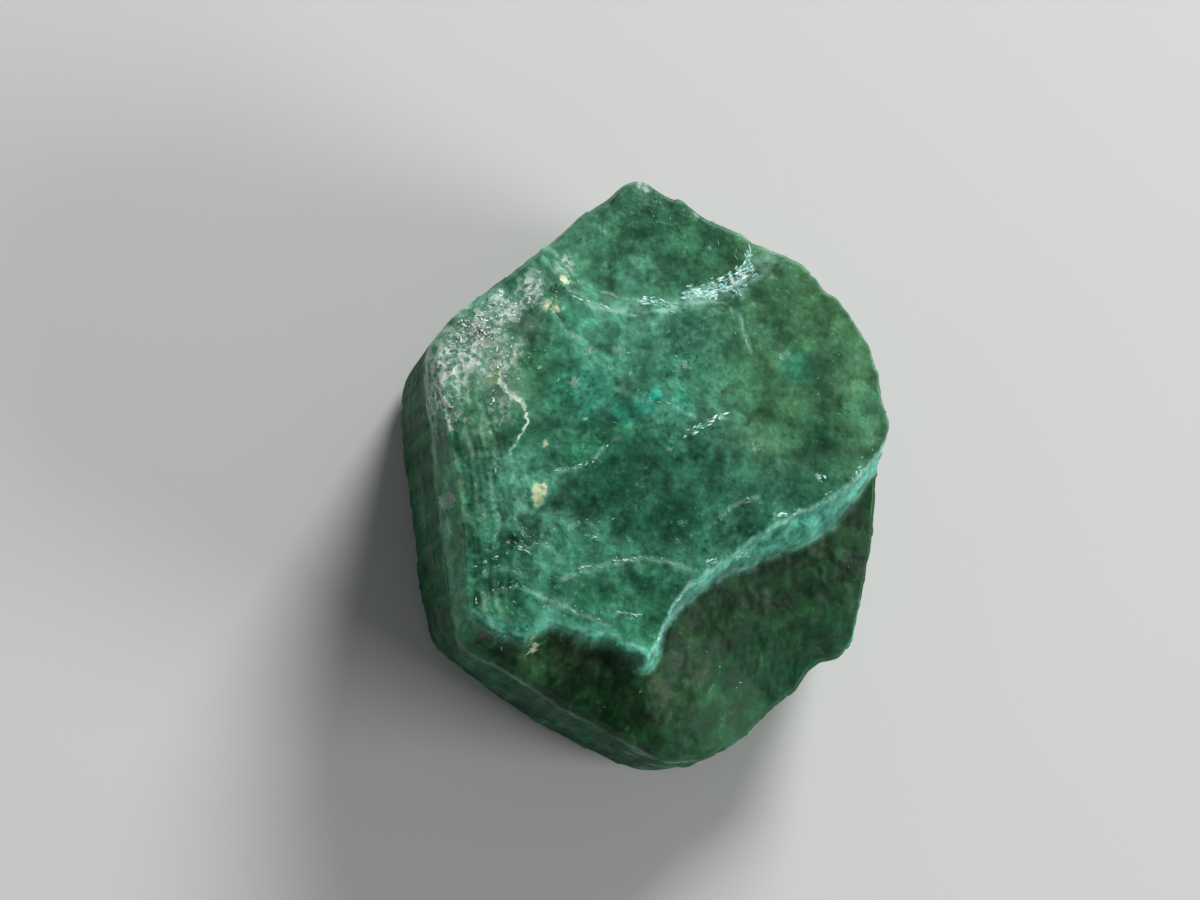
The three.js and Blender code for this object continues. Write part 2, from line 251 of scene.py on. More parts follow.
def bump(away, half):
    """1 at its middle, falling to 0 at half."""
    t = np.clip(np.abs(away) / half, 0, 1)
    return (1 - t * t) ** 2


def turn_between(a, b):
    return np.abs((a - b + 540) % 360 - 180)


def from_axis(r, phi):
    """The spot r from the c-axis in direction phi, in degrees."""
    return r * np.cos(np.radians(phi)), r * np.sin(np.radians(phi))


def lattice(ix, iy, iz, seed):
    """A number from 0 to 1 for each whole-number point, the same on every run."""
    n = (ix * 374761393 + iy * 668265263 + iz * 1440662683 + seed * 974634777) & 0xFFFFFFFF
    n = ((n ^ (n >> 13)) * 1274126177) & 0xFFFFFFFF
    n = ((n ^ (n >> 15)) * 2246822519) & 0xFFFFFFFF
    return ((n ^ (n >> 16)) & 0xFFFFFF) / 0xFFFFFF


def noise(x, y, z=0.0, seed=0):
    """Smooth noise from -1 to 1."""
    x, y, z = np.broadcast_arrays(*(np.asarray(v, float) for v in (x, y, z)))
    corner = [np.floor(v).astype(np.int64) for v in (x, y, z)]
    t = [smooth(v - c) for v, c in zip((x, y, z), corner)]
    total = 0
    for dx in (0, 1):
        for dy in (0, 1):
            for dz in (0, 1):
                weight = 1
                for side, share in zip((dx, dy, dz), t):
                    weight = weight * (share if side else 1 - share)
                spot = (base + side for base, side in zip(corner, (dx, dy, dz)))
                total = total + weight * lattice(*spot, seed)
    return total * 2 - 1


def fractal(x, y, z=0.0, octaves=4, gain=0.5, seed=0):
    """Noise on noise of half the size, several times over."""
    total, weight, reach = 0, 1, 0
    for octave in range(octaves):
        step = 2.03 ** octave
        total = total + weight * noise(x * step, y * step, np.asarray(z) * step, seed + octave)
        reach += weight
        weight *= gain
    return total / reach


def facets(x, y, seed):
    """The upper envelope of random tilted planes, one to a cell: a surface of crisp facets."""
    ix, iy = np.floor(x).astype(np.int64), np.floor(y).astype(np.int64)
    best = np.full(np.shape(x), -9.0)
    for dx in (-1, 0, 1):
        for dy in (-1, 0, 1):
            cx, cy = ix + dx, iy + dy
            px = cx + lattice(cx, cy, 1, seed)
            py = cy + lattice(cx, cy, 2, seed)
            sx = (lattice(cx, cy, 3, seed) * 2 - 1) * FACET_SLOPE
            sy = (lattice(cx, cy, 4, seed) * 2 - 1) * FACET_SLOPE
            away = np.hypot(x - px, y - py)
            best = np.maximum(best, sx * (x - px) + sy * (y - py) - away * away * 0.7)
    return best


def segments(outline, closed):
    """Each stretch of a line, as its two ends."""
    ends = outline[1:] + outline[:1] if closed else outline[1:]
    return zip(outline, ends)


def distance_to(line, x, y, closed=False):
    best = np.full(np.shape(x), np.inf)
    for (ax, ay), (bx, by) in segments(line, closed):
        dx, dy = bx - ax, by - ay
        share = np.clip(((x - ax) * dx + (y - ay) * dy) / (dx * dx + dy * dy), 0, 1)
        best = np.minimum(best, np.hypot(x - ax - share * dx, y - ay - share * dy))
    return best


def depth_in(outline, x, y):
    """Distance to a closed outline, positive inside it."""
    inside = np.zeros(np.shape(x), bool)
    for (ax, ay), (bx, by) in segments(outline, True):
        if ay != by:
            inside ^= ((ay > y) != (by > y)) & (x < (bx - ax) * (y - ay) / (by - ay) + ax)
    away = distance_to(outline, x, y, closed=True)
    return np.where(inside, away, -away)


def patches(spots, x, y):
    """The strongest of some soft round patches at each spot."""
    total = np.zeros(np.shape(x))
    for cx, cy, radius, strength in spots:
        total = np.maximum(total, strength * bump(np.hypot(x - cx, y - cy), radius))
    return total


# ---- the crystal's form ----


def side_radius(phi, z):
    """The prism's radius in direction phi, in degrees, at height z."""
    below = np.maximum(0, RIM_LEVEL - z)
    total = 0
    for faces, out, lean in SIDES:
        toward = np.maximum(np.cos(np.radians(phi - faces)), 0.05)
        total = total + (toward / (out + lean * below)) ** CORNER_SHARPNESS
    r = total ** (-1 / CORNER_SHARPNESS)
    below_edge = np.maximum(0, below - EDGE_FALL * bump(turn_between(phi, EDGE_FALL_AT), EDGE_FALL_HALF))
    fade = np.exp(-below_edge / CHIP_DEPTH)
    for at, half, out in CHIPS:
        r = r + out * fade * bump(turn_between(phi, at), half)
    for at, height, radius, depth in SCARS:
        across = np.radians(turn_between(phi, at)) * r
        r = r - depth * bump(np.hypot(across, z - height), radius)
    return r


def side_detail(phi, z):
    """Growth lines up the sides, hackly patches where they are broken, and small ripples."""
    x, y = from_axis(MEAN_RADIUS, phi)
    lines = 0.075 * fractal(x * 1.5, y * 1.5, z * 0.05, 4, 0.75, 11)
    steps = 0.06 * np.round(1.8 * fractal(x * 0.55, y * 0.55, z * 0.09, 2, 0.5, 21))
    patch = smooth(2.2 * noise(x * 0.28, y * 0.28, z * 0.3, 31))
    hackly = 0.09 * fractal(x * 1.1, y * 1.1, z * 1.1, 4, 0.55, 41)
    return lines + steps + patch * hackly


def plateau_height(x, y):
    """The upper end's height before anything is broken out of it."""
    swell = 0.16 * np.sin(0.42 * x + 0.8) * np.cos(0.36 * y - 0.5)
    right_fall = 0.011 * np.maximum(0, x - 1) ** 2
    corner_fall = 0.02 * np.maximum(0, y - 6) ** 2
    return HEIGHT - 0.2 + swell - right_fall - corner_fall


def edge_inset(phi):
    """How far the bevel pulls the upper end's edge in."""
    return BEVEL_INSET + LEDGE_INSET * bump(turn_between(phi, LEDGE_AT), LEDGE_HALF)


def edge_drop(phi):
    """How far down the bevel reaches."""
    return BEVEL_DROP + LEDGE_DROP * bump(turn_between(phi, LEDGE_AT), LEDGE_HALF)


def edge_radius(phi):
    return side_radius(phi, RIM_LEVEL) + side_detail(phi, RIM_LEVEL) - edge_inset(phi)


def along_left(phi, reach):
    """1 on the left side, fading to 0 at reach degrees round from its middle."""
    return smooth((reach - turn_between(phi, LEFT_SIDE)) / LEFT_FADE)


def jagged(x, y):
    """The same spots, nudged, so that an outline measured through them runs ragged."""
    nudge_x = 0.18 * fractal(x * 1.3, y * 1.3, 0, 4, 0.65, 51)
    nudge_y = 0.18 * fractal(x * 1.3, y * 1.3, 0, 4, 0.65, 61)
    return x + nudge_x, y + nudge_y


def break_wall(x, y):
    """Distance past the wall's rim, and the wall's width there."""
    wide = bump(x - WALL_WIDEST, WALL_REACH)
    past = depth_in(TERRACE, *jagged(x, y)) + WALL_LEAD * wide
    return past, TERRACE_EDGE * (0.75 + wide) + 0.2 * noise(x * 0.9, y * 0.9, 0, 151)


def top_height(x, y):
    """The height of the broken upper end, with all its small breaks."""
    jag_x, jag_y = jagged(x, y)
    phi = np.degrees(np.arctan2(y, x))
    z = plateau_height(x, y)

    # the plateau's own low relief
    z = z + 0.07 * fractal(x * 0.45, y * 0.45, 0, 3, 0.5, 71)
    z = z + 0.1 * facets(jag_x * 0.55, jag_y * 0.55, 81) + 0.035 * facets(jag_x * 1.7, jag_y * 1.7, 91)
    z = z + 0.02 * fractal(x * 2.6, y * 2.6, 0, 4, 0.62, 101)

    # the lower left, broken into small crossing facets
    lower_left = smooth((-2.2 - x) / 2.5) * smooth((1.2 - y) / 2.5)
    crossed = facets(jag_x * 0.9 + 0.5 * y, jag_y * 0.8, 111)
    crossed = crossed + 0.6 * facets(jag_x * 1.6 - y, jag_y * 1.5, 115)
    z = z + lower_left * (0.09 * crossed + 0.02 * noise(x * 3, y * 3))

    # ledges along the left edge
    from_edge = edge_radius(phi) - np.hypot(x, y)
    at_left = along_left(phi, 44.8)
    for i, (inset, height) in enumerate(LEFT_STEPS):
        wander = 0.22 * fractal(x * 0.9, y * 0.6, 0, 4, 0.65, 121 + 10 * i)
        broken = smooth(1.6 * noise(y * 0.7, i, 0, 125) + 0.7)
        z = z - at_left * broken * height * (1 - smooth((from_edge + wander - inset) / 0.12 + 0.5))

    # the crust at the upper left
    crust = patches(CRUST, jag_x, jag_y)
    z = z + crust * (0.1 * np.maximum(0, fractal(x * 2.4, y * 2.4, 0, 4, 0.7, 131)) + 0.03)
    z = z + patches(CREAM, jag_x, jag_y) * 0.06 * fractal(x * 2.4, y * 2.4, 0, 3, 0.7, 141)

    # cracks and veins
    for line in CRACKS:
        z = z - 0.05 * bump(distance_to(line, x, y), 0.18)
    z = z + 0.02 * bump(distance_to(VEIN, jag_x, jag_y), 0.3)

    # the hollow, the scoop and the terrace
    hollow = depth_in(HOLLOW, jag_x, jag_y)
    z = z - HOLLOW_DROP * smooth(hollow / HOLLOW_EDGE)
    scoop = np.maximum(0, depth_in(SCOOP, jag_x, jag_y))
    scoop_drop = np.maximum(SCOOP_LEAST, SCOOP_DROP - SCOOP_RISE * scoop)
    spacing = 4.6 + 1.2 * noise(x * 0.3, y * 0.3, 0, 185)
    ribs = 0.008 * np.sin(scoop * spacing) * smooth(scoop / 0.8) * smooth((3.2 - scoop) / 1.5)
    slope = SCOOP_EDGE * (1 + 0.35 * fractal(x * 0.7, y * 0.7, 0, 3, 0.6, 187))
    on_slope = smooth(scoop / 0.2) * (1 - smooth(scoop / slope - 0.6))
    splinters = 0.07 * facets(jag_x * 1.3 + jag_y, jag_y * 1.6 - 0.5 * jag_x, 189) * on_slope
    z = z - scoop_drop * smooth(scoop / slope) + ribs + splinters

    past_rim, wall = break_wall(x, y)
    terrace = np.maximum(0, past_rim)
    waves = 0.08 * np.sin(2.4 * terrace + 0.35 * x) * smooth(terrace / 1.5)
    relief = 0.05 * facets(jag_x * 0.5, jag_y * 0.5, 161) + 0.1 * fractal(x * 0.7, y * 0.7, 0, 4, 0.5, 171)
    low = plateau_height(x, y) - TERRACE_DROP - TERRACE_FALL * terrace - TERRACE_BOW * terrace ** 2
    low = low + waves + relief
    share = np.clip(terrace / wall, 0, 1)
    stepped = 0.5 * smooth(share / 0.3) + 0.5 * smooth(share / 0.3 - 2.3)
    split = 0.35 * share + 0.35 * smooth(share) + 0.3 * stepped
    fibres = 0.06 * np.sin(16 * share + 5 * fractal(x * 0.8, y * 0.8, 0, 4, 0.65, 183))
    shelf = 0.16 * noise(x * 1.3, y * 1.3, 0, 181) + 0.08 * facets(jag_x * 1.4 + jag_y, jag_y * 1.4, 191)
    return z + (low - z) * split + (fibres + shelf) * np.sin(np.pi * share)


def side_point(share, phi):
    """A point of a side: share runs from 0 at the upper edge to 1 at the base."""
    r_edge = edge_radius(phi)
    top = top_height(*from_axis(r_edge, phi))
    z = top * (1 - share)
    bevel = edge_inset(phi) * (1 - smooth((top - z) / edge_drop(phi)))
    chamfer = CHAMFER * (1 - smooth(z / CHAMFER_RISE))
    r = side_radius(phi, z) + side_detail(phi, z) * smooth(share / 0.03 + 0.4) - bevel - chamfer
    return np.stack([*from_axis(r, phi), z], -1)


def square_to_disc(u, v):
    """A square's points as a disc's: the ring of each, from 0 to 1, and its direction in degrees."""
    ring = np.maximum(np.abs(u), np.abs(v))
    safe = np.where(ring == 0, 1, ring)
    along_x = np.abs(u) >= np.abs(v)
    eighth = np.where(along_x, 45 * v / np.where(along_x & (u != 0), u, safe),
                      90 - 45 * u / np.where(~along_x & (v != 0), v, safe))
    turned = np.where(np.where(along_x, u, v) < 0, eighth + 180, eighth)
    return ring, turned % 360


# ---- the crystal's mesh ----


def perimeter(n):
    """The grid's border, as flat indices of an (n + 1) x (n + 1) grid, once round."""
    run = np.arange(n)
    size = n + 1
    return np.concatenate([run * size, n * size + run, (n - run) * size + n, n - run])


def disc_points(n):
    """The ring and the direction of each point of an (n + 1) x (n + 1) grid."""
    line = np.linspace(-1, 1, n + 1)
    return square_to_disc(*(m.ravel() for m in np.meshgrid(line, line, indexing="ij")))


def grid_quads(n):
    i, j = np.meshgrid(np.arange(n), np.arange(n), indexing="ij")
    a = (i * (n + 1) + j).ravel()
    return np.stack([a, a + n + 1, a + n + 2, a + 1], -1)


def crystal_mesh():
    """Vertices and faces of the whole outside, closed, with fewer quads towards the base."""
    points, faces, count = [], [], 0

    def add(block):
        nonlocal count
        points.append(block)
        count += len(block)
        return np.arange(count - len(block), count)

    ring, phi = disc_points(GRID)
    x, y = from_axis(ring * edge_radius(phi), phi)
    top = add(np.stack([x, y, top_height(x, y)], -1))
    faces.append(top[grid_quads(GRID)])

    border = perimeter(GRID)
    loop, loop_phi = top[border], phi[border]

    def wall(upper, lower):
        after = np.roll(upper, -1), np.roll(lower, -1)
        faces.append(np.stack([upper, lower, after[1], after[0]], -1))

    def halve(upper, lower):
        """Joins a loop to one with half as many points, by three triangles to each of its steps."""
        even, odd = upper[0::2], upper[1::2]
        next_even, next_lower = np.roll(even, -1), np.roll(lower, -1)
        faces.append(np.stack([even, lower, odd], -1))
        faces.append(np.stack([odd, lower, next_lower], -1))
        faces.append(np.stack([odd, next_lower, next_even], -1))

    upper_shares = UPPER_SHARE * (np.arange(1, UPPER_ROWS + 1) / UPPER_ROWS) ** 1.3
    for share in upper_shares:
        lower = add(side_point(np.full(len(loop_phi), share), loop_phi))
        wall(loop, lower)
        loop = lower
    loop_phi = loop_phi[::2]
    lower_shares = UPPER_SHARE + (1 - UPPER_SHARE) * np.arange(1, LOWER_ROWS) / LOWER_ROWS
    for row, share in enumerate(lower_shares):
        lower = add(side_point(np.full(len(loop_phi), share), loop_phi))
        (wall if row else halve)(loop, lower)
        loop = lower

    coarse = GRID // 4
    ring, phi = disc_points(coarse)
    foot = side_point(np.ones(len(phi)), phi)
    x, y = foot[:, 0] * ring, foot[:, 1] * ring
    rough = np.maximum(0, 0.16 * fractal(x * 0.5, y * 0.5, 0, 4, 0.6, 191)) * smooth((1 - ring) / 0.12)
    base = add(np.stack([x, y, rough], -1))
    halve(loop, base[perimeter(coarse)])
    faces.append(base[grid_quads(coarse)][:, ::-1])
    return np.concatenate(points), faces


class Placing:
    """Turns the form's millimetres into the frame's metres, so that it fills the CAD solid's box."""

    def __init__(self, points):
        low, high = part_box(NODE)
        low, high = np.array(low), np.array(high)
        form_low, form_high = points.min(0), points.max(0)
        self.scale = (high - low) / (form_high - form_low)
        self.shift = low - form_low * self.scale

    def __call__(self, points):
        return np.asarray(points) * self.scale + self.shift


def mesh_object(name, points, faces):
    """An object from an array of points and a list of arrays of faces."""
    mesh = bpy.data.meshes.new(name)
    sizes = np.concatenate([np.full(len(f), f.shape[1]) for f in faces])
    starts = np.concatenate([[0], np.cumsum(sizes)[:-1]])
    corners = np.concatenate([f.ravel() for f in faces])
    mesh.vertices.add(len(points))
    mesh.vertices.foreach_set("co", np.asarray(points, np.float32).ravel())
    mesh.loops.add(len(corners))
    mesh.loops.foreach_set("vertex_index", corners.astype(np.int32))
    mesh.polygons.add(len(sizes))
    mesh.polygons.foreach_set("loop_start", starts.astype(np.int32))
    mesh.update(calc_edges=True)
    mesh.validate()
    piece = bpy.data.objects.new(name, mesh)
    bpy.context.scene.collection.objects.link(piece)
    return piece


def paint(piece, name, values):
    """Stores one number to a vertex, which the material reads by name."""
    layer = piece.data.attributes.new(name, "FLOAT", "POINT")
    layer.data.foreach_set("value", np.asarray(values, np.float32))


def paint_features(piece, points):
    """Where the stone is crusted, stained, clouded or dark, and where light is painted on it: a glow along
    its glassy break, sheen and highlights.
    """
    x, y, z = points.T
    jag_x = x + 0.25 * fractal(x * 1.2, y * 1.2, z, 4, 0.65, 201)
    jag_y = y + 0.25 * fractal(x * 1.2, y * 1.2, z, 4, 0.65, 211)
    near_top = smooth((z - 9.4) / 1.6)
    terrace = depth_in(TERRACE, jag_x, jag_y)
    past_rim, wall = break_wall(x, y)
    at_ridge = smooth((-0.4 - x) / 0.8)
    under = top_height(x, y) - z + 0.5 * fractal(x * 1.5, y * 1.5, z * 0.5, 3, 0.6, 255)
    on_end = 1 - smooth((under - 0.3) / 0.7)
    on_terrace = smooth((past_rim - wall * (1 - 0.75 * at_ridge)) / 0.35 + 0.4) * on_end
    phi = np.degrees(np.arctan2(y, x))
    at_left = along_left(phi, 50.4)
    down = under + 1.4 * fractal(x * 0.9, y * 0.9, z * 0.12, 4, 0.65, 251) - 0.5 * at_left
    paint(piece, "side", smooth((down - 0.5) / 1.5) * (1 - on_end))
    paint(piece, "terrace", on_terrace)
    paint(piece, "outer", smooth((terrace - 2.2) / 3.5) * on_terrace)

    # Painted light on the break's wall and the ridge: a glow of light through the glass, which the
    # material paints bright green.
    right = smooth((x + 0.9) / 1.2) * on_end
    rim = bump(past_rim / wall - 0.43, 0.57) * right
    ridge_glow = 0.5 * bump(distance_to(RIDGE, jag_x, jag_y), 0.5) * on_end
    paint(piece, "rim", np.maximum(rim, ridge_glow))
    wander = 6 * fractal(x * 0.8, y * 0.8, 0, 4, 0.6, 231)
    streak = 0.5 + 0.5 * np.sin(9 * past_rim / wall + wander)
    middle = bump(past_rim / wall - 0.5, 0.4) * smooth(wall - 0.6)
    paint(piece, "streak", np.clip(0.7 * streak + 0.8 * middle, 0, 1))
    # Painted highlights along the wall's upper edge, its foot and the ridge.
    edge_highlights = np.maximum(bump(past_rim - 0.06, 0.15), 0.7 * bump(past_rim - 0.9 * wall, 0.13)) * right
    ridge_highlight = bump(distance_to(RIDGE, jag_x, jag_y), 0.13) * on_end
    edge_highlights = np.maximum(edge_highlights, (0.15 + 0.4 * smooth((x + 4) / 2)) * ridge_highlight)
    paint(piece, "edge_highlight", edge_highlights)

    # The scoop's slope and the line above it are painted pale as highlights. The cracks are pale lines of
    # their own.
    slope = (0.25 + 0.5 * smooth(x / 2.5)) * bump(distance_to(SCOOP_SLOPE, jag_x, jag_y), 0.6)
    line = 0.9 * bump(distance_to(SCOOP_LINE, jag_x * 0.3 + x * 0.7, jag_y * 0.3 + y * 0.7), 0.15)
    wavy_x, wavy_y = 0.5 * (x + jag_x), 0.5 * (y + jag_y)
    cracks = [0.55 * bump(distance_to(crack, wavy_x, wavy_y), 0.15) for crack in CRACKS]
    paint(piece, "pale_line", np.maximum.reduce([slope, line, *cracks]) * near_top)
    thick = 0.12 + 0.26 * smooth((y - 1.8) / 1.6) * (0.7 + 0.5 * noise(x * 1.5, y * 1.5, 0, 227))
    vein = smooth((y + 1.2) / 4) * bump(distance_to(VEIN, jag_x, jag_y) / thick, 1)
    paint(piece, "vein", vein * near_top)

    # Painted highlight round the glint slivers, where the break shines.
    shine = 0
    for line, per_mm, spread in GLINTS:
        away = distance_to(line, jag_x * 0.4 + x * 0.6, jag_y * 0.4 + y * 0.6)
        strength = min(1, per_mm / 90) ** 1.5
        shine = np.maximum(shine, strength * bump(away, 0.1 + 1.7 * spread))
    paint(piece, "shine", shine * on_end)
    paint(piece, "blotch", patches(BLOTCHES, jag_x, jag_y) * on_end)
    uneven = 1.1 + 0.9 * fractal(x * 0.6, y * 0.6, z * 0.6, 4, 0.65, 261)
    scar = 0
    for at, height, radius, depth in SCARS:
        across = np.radians(turn_between(phi, at)) * np.hypot(x, y)
        away = np.hypot(across, z - height) * uneven
        scar = np.maximum(scar, smooth(2.2 * (1 - away / radius)))
    paint(piece, "scar", scar * smooth((10.8 - z) / 1.5) * (1 - on_terrace))
    clinging = smooth(2.6 * fractal(x * 0.35, y * 0.35, z * 0.35, 4, 0.6, 241) - 0.55)
    paint(piece, "clinging", clinging * smooth((9.5 - z) / 3) * (1 - on_terrace))

    paint(piece, "cream", patches(CREAM, jag_x, jag_y) * near_top)
    wall_flake = 1.6 * bump(np.hypot(0.9 * (y + 1.2), 0.45 * (z - 10.9)), 0.44) * (x < -8)
    paint(piece, "pale_spot", np.maximum(patches(PALE_SPOTS, jag_x, jag_y) * near_top, wall_flake))
    paint(piece, "crust", patches(CRUST, jag_x, jag_y) * near_top)
    # Frost, and a painted sheen on the bevel.
    paint(piece, "frost_and_sheen", patches(FROST_AND_SHEEN, jag_x, jag_y) * smooth((z - 8.6) / 1.8))
    from_edge = edge_radius(phi) - np.hypot(x, y)
    # Painted light on the left bevel, which faces away from the lamps.
    paint(piece, "ledge_painted_light", at_left * bump(from_edge + 0.2, 0.7) * smooth((z - 9.0) / 1.5))
    paint(piece, "light", patches(LIGHT, jag_x, jag_y) * near_top)
    paint(piece, "shade", patches(SHADE, jag_x, jag_y) * near_top)
    # Painted glow where light flashes inside.
    paint(piece, "glow", patches(GLOW, x, y) * near_top)
    fibre = np.sin(11.0 * from_edge + 5 * fractal(x * 0.7, y * 0.4, z, 4, 0.65, 221)) * 0.5 + 0.5
    broken = smooth(2.5 * noise(x * 1.2, y * 0.5, 0, 225) + 0.9)
    near_left = at_left * smooth((2.6 - from_edge) / 2) * smooth((z - 9.0) / 2)
    paint(piece, "fibre", fibre ** 3 * broken * near_left)
    paint(piece, "stain", patches(STAIN, jag_x, jag_y) * smooth((z - 7.0) / 2))

    hollow = smooth(depth_in(HOLLOW, jag_x, jag_y) / 1.4 + 0.3)
    scoop = smooth(depth_in(SCOOP, jag_x, jag_y) / 1.2)
    paint(piece, "dark", np.clip(0.55 * hollow * near_top + 0.25 * scoop * near_top, 0, 1))
    olive = smooth((x - 1.0) / 4.5) * smooth((y + 1.2) / 2.5) * 0.9 * near_top
    hazy = 0.5 * bump(np.hypot(x + 6.2, y - 3.8), 3.6) * near_top
    paint(piece, "olive", np.clip(olive + hazy + 0.4 * scoop * near_top, 0, 1))


# ---- materials ----


class Graph:
    """A material's nodes, made with short calls."""

    def __init__(self, name):
        self.material = bpy.data.materials.new(name)
        self.material.use_nodes = True
        self.tree = self.material.node_tree
        self.tree.nodes.clear()
        self.output = self.tree.nodes.new("ShaderNodeOutputMaterial")
        self.place = self.node("ShaderNodeTexCoord").outputs["Object"]

    def node(self, kind, inputs=None, **settings):
        made = self.tree.nodes.new(kind)
        for key, value in settings.items():
            setattr(made, key, value)
        for key, value in (inputs or {}).items():
            self.feed(made.inputs[key], value)
        return made

    def feed(self, socket, value):
        if isinstance(value, bpy.types.NodeSocket):
            self.tree.links.new(value, socket)
        elif isinstance(value, tuple) and len(value) == 3 and len(socket.default_value) == 4:
            socket.default_value = (*value, 1)
        else:
            socket.default_value = value

    def noise(self, size_mm, detail=4, roughness=0.55, warp=0.0, stretch=None):
        """Noise whose largest blotches are about size_mm across."""
        place = self.place
        if stretch is not None:
            place = self.node("ShaderNodeMapping", {"Vector": place, "Scale": stretch}).outputs[0]
        inputs = {"Vector": place, "Scale": 1 / (size_mm * MM), "Detail": detail,
                  "Roughness": roughness, "Distortion": warp}
        return self.node("ShaderNodeTexNoise", inputs).outputs["Fac"]

    def cells(self, size_mm):
        """Random angular cells: the distance from each one's middle, and a random grey to each."""
        inputs = {"Vector": self.place, "Scale": 1 / (size_mm * MM)}
        outputs = self.node("ShaderNodeTexVoronoi", inputs).outputs
        return outputs["Distance"], self.band(outputs["Color"], 0.2, 0.8)

    def band(self, value, low, high, to_low=0.0, to_high=1.0):
        """value from low to high, as to_low to to_high, held beyond both ends."""
        inputs = {"Value": value, "From Min": low, "From Max": high, "To Min": to_low, "To Max": to_high}
        return self.node("ShaderNodeMapRange", inputs).outputs["Result"]

    def math(self, operation, a, b=0.0):
        return self.node("ShaderNodeMath", {0: a, 1: b}, operation=operation).outputs[0]

    def times(self, *values):
        return reduce(lambda a, b: self.math("MULTIPLY", a, b), values)

    def most(self, *values):
        return reduce(lambda a, b: self.math("MAXIMUM", a, b), values)

    def mix(self, share, a, b, blend="MIX"):
        made = self.node("ShaderNodeMix", data_type="RGBA", blend_type=blend, clamp_factor=True)
        self.feed(made.inputs["Factor"], share)
        self.feed(made.inputs[6], a)
        self.feed(made.inputs[7], b)
        return made.outputs[2]

    def cover(self, colour, share, grey, low, high):
        """colour, with share of it covered by another that runs from low to high with grey."""
        return self.mix(share, colour, self.mix(grey, low, high))

    def ramp(self, value, *stops):
        made = self.node("ShaderNodeValToRGB", {"Fac": value})
        points = made.color_ramp.elements
        while len(points) < len(stops):
            points.new(1.0)
        for point, (at, colour) in zip(points, stops):
            point.position = at
            point.color = (*colour, 1)
        return made.outputs["Color"]

    def grey(self, value):
        return self.node("ShaderNodeCombineColor", {0: value, 1: value, 2: value}).outputs[0]

    def painted(self, name, strength=1):
        share = self.node("ShaderNodeAttribute", attribute_name=name).outputs["Fac"]
        return share if strength == 1 else self.times(share, strength)

    def bumped(self, height, distance_mm, strength=1.0, under=None):
        inputs = {"Height": height, "Distance": distance_mm * MM, "Strength": strength}
        if under is not None:
            inputs["Normal"] = under
        return self.node("ShaderNodeBump", inputs).outputs["Normal"]

    def shade(self, **inputs):
        """The Principled shader, wired to the output."""
        named = {key.replace("_", " "): value for key, value in inputs.items()}
        made = self.node("ShaderNodeBsdfPrincipled", named)
        self.tree.links.new(made.outputs[0], self.output.inputs["Surface"])

    def absorb(self, colour, density):
        made = self.node("ShaderNodeVolumeAbsorption", {"Color": colour, "Density": density})
        self.tree.links.new(made.outputs[0], self.output.inputs["Volume"])


def ragged(g, share, grainy, soft=0.1):
    """share, with its soft edge broken up by grainy noise into a crisp and irregular one."""
    uneven = g.math("ADD", share, g.band(grainy, 0.25, 0.75, -0.6, 0.6))
    return g.times(g.band(uneven, 0.5 - soft, 0.5 + soft), g.band(share, 0.0, 0.2))


def grain(g, colour, mid, small, tiny, faces):
    """The fine light and dark grain that runs all through the stone, and its small crisp facets."""
    mottle = g.band(small, 0.34, 0.68, 0.68, 1.32)
    uneven = g.times(mottle, g.band(faces, 0, 1, 0.82, 1.18), g.band(tiny, 0.34, 0.66, 0.82, 1.18))
    even = g.most(g.painted("olive", 0.6), g.painted("terrace", 0.3))
    colour = g.mix(g.math("SUBTRACT", 1.0, even), colour, g.mix(1.0, colour, g.grey(uneven), "MULTIPLY"))
    inside = g.band(g.most(g.painted("side"), g.painted("terrace", 0.7)), 0, 1, 1.0, 0.15)
    pepper = g.times(g.band(tiny, 0.42, 0.36), g.band(mid, 0.6, 0.42))
    colour = g.mix(g.times(pepper, 0.5), colour, (0.01, 0.055, 0.028))
    salt = g.times(g.band(tiny, 0.6, 0.67), g.band(mid, 0.42, 0.6), inside)
    return g.mix(g.times(salt, 0.45), colour, (0.36, 0.74, 0.54))


def terrace_colour(g, mid, small):
    """Darker and more olive than the plateau, with soft grey and brown blotches."""
    low = g.ramp(mid, (0.36, (0.004, 0.034, 0.006)), (0.52, (0.014, 0.08, 0.016)),
                 (0.66, (0.05, 0.165, 0.052)))
    low = g.mix(g.painted("outer", 0.7), low, (0.018, 0.15, 0.056))
    cloudy = g.times(g.painted("blotch"), g.band(small, 0.4, 0.54, 0.1, 0.75))
    return g.mix(cloudy, low, (0.14, 0.19, 0.1))


def side_colour(g, mid, small, lines):
    """Growth lines up the prism's sides, with newly broken scars and a little clinging host rock."""
    wall = g.ramp(lines, (0.36, (0.004, 0.038, 0.012)), (0.48, (0.011, 0.08, 0.027)),
                  (0.58, (0.026, 0.135, 0.056)), (0.7, (0.07, 0.25, 0.125)))
    wall = g.mix(g.band(mid, 0.44, 0.64, 0.0, 0.6), wall, (0.008, 0.1, 0.042))
    wall = g.cover(wall, g.painted("scar", 0.45), small, (0.008, 0.12, 0.065), (0.08, 0.34, 0.22))
    host = g.ramp(small, (0.36, (0.035, 0.07, 0.035)), (0.5, (0.13, 0.15, 0.085)),
                  (0.64, (0.34, 0.33, 0.23)))
    return g.mix(g.times(g.painted("clinging"), g.band(small, 0.38, 0.52, 0.0, 0.9)), wall, host)


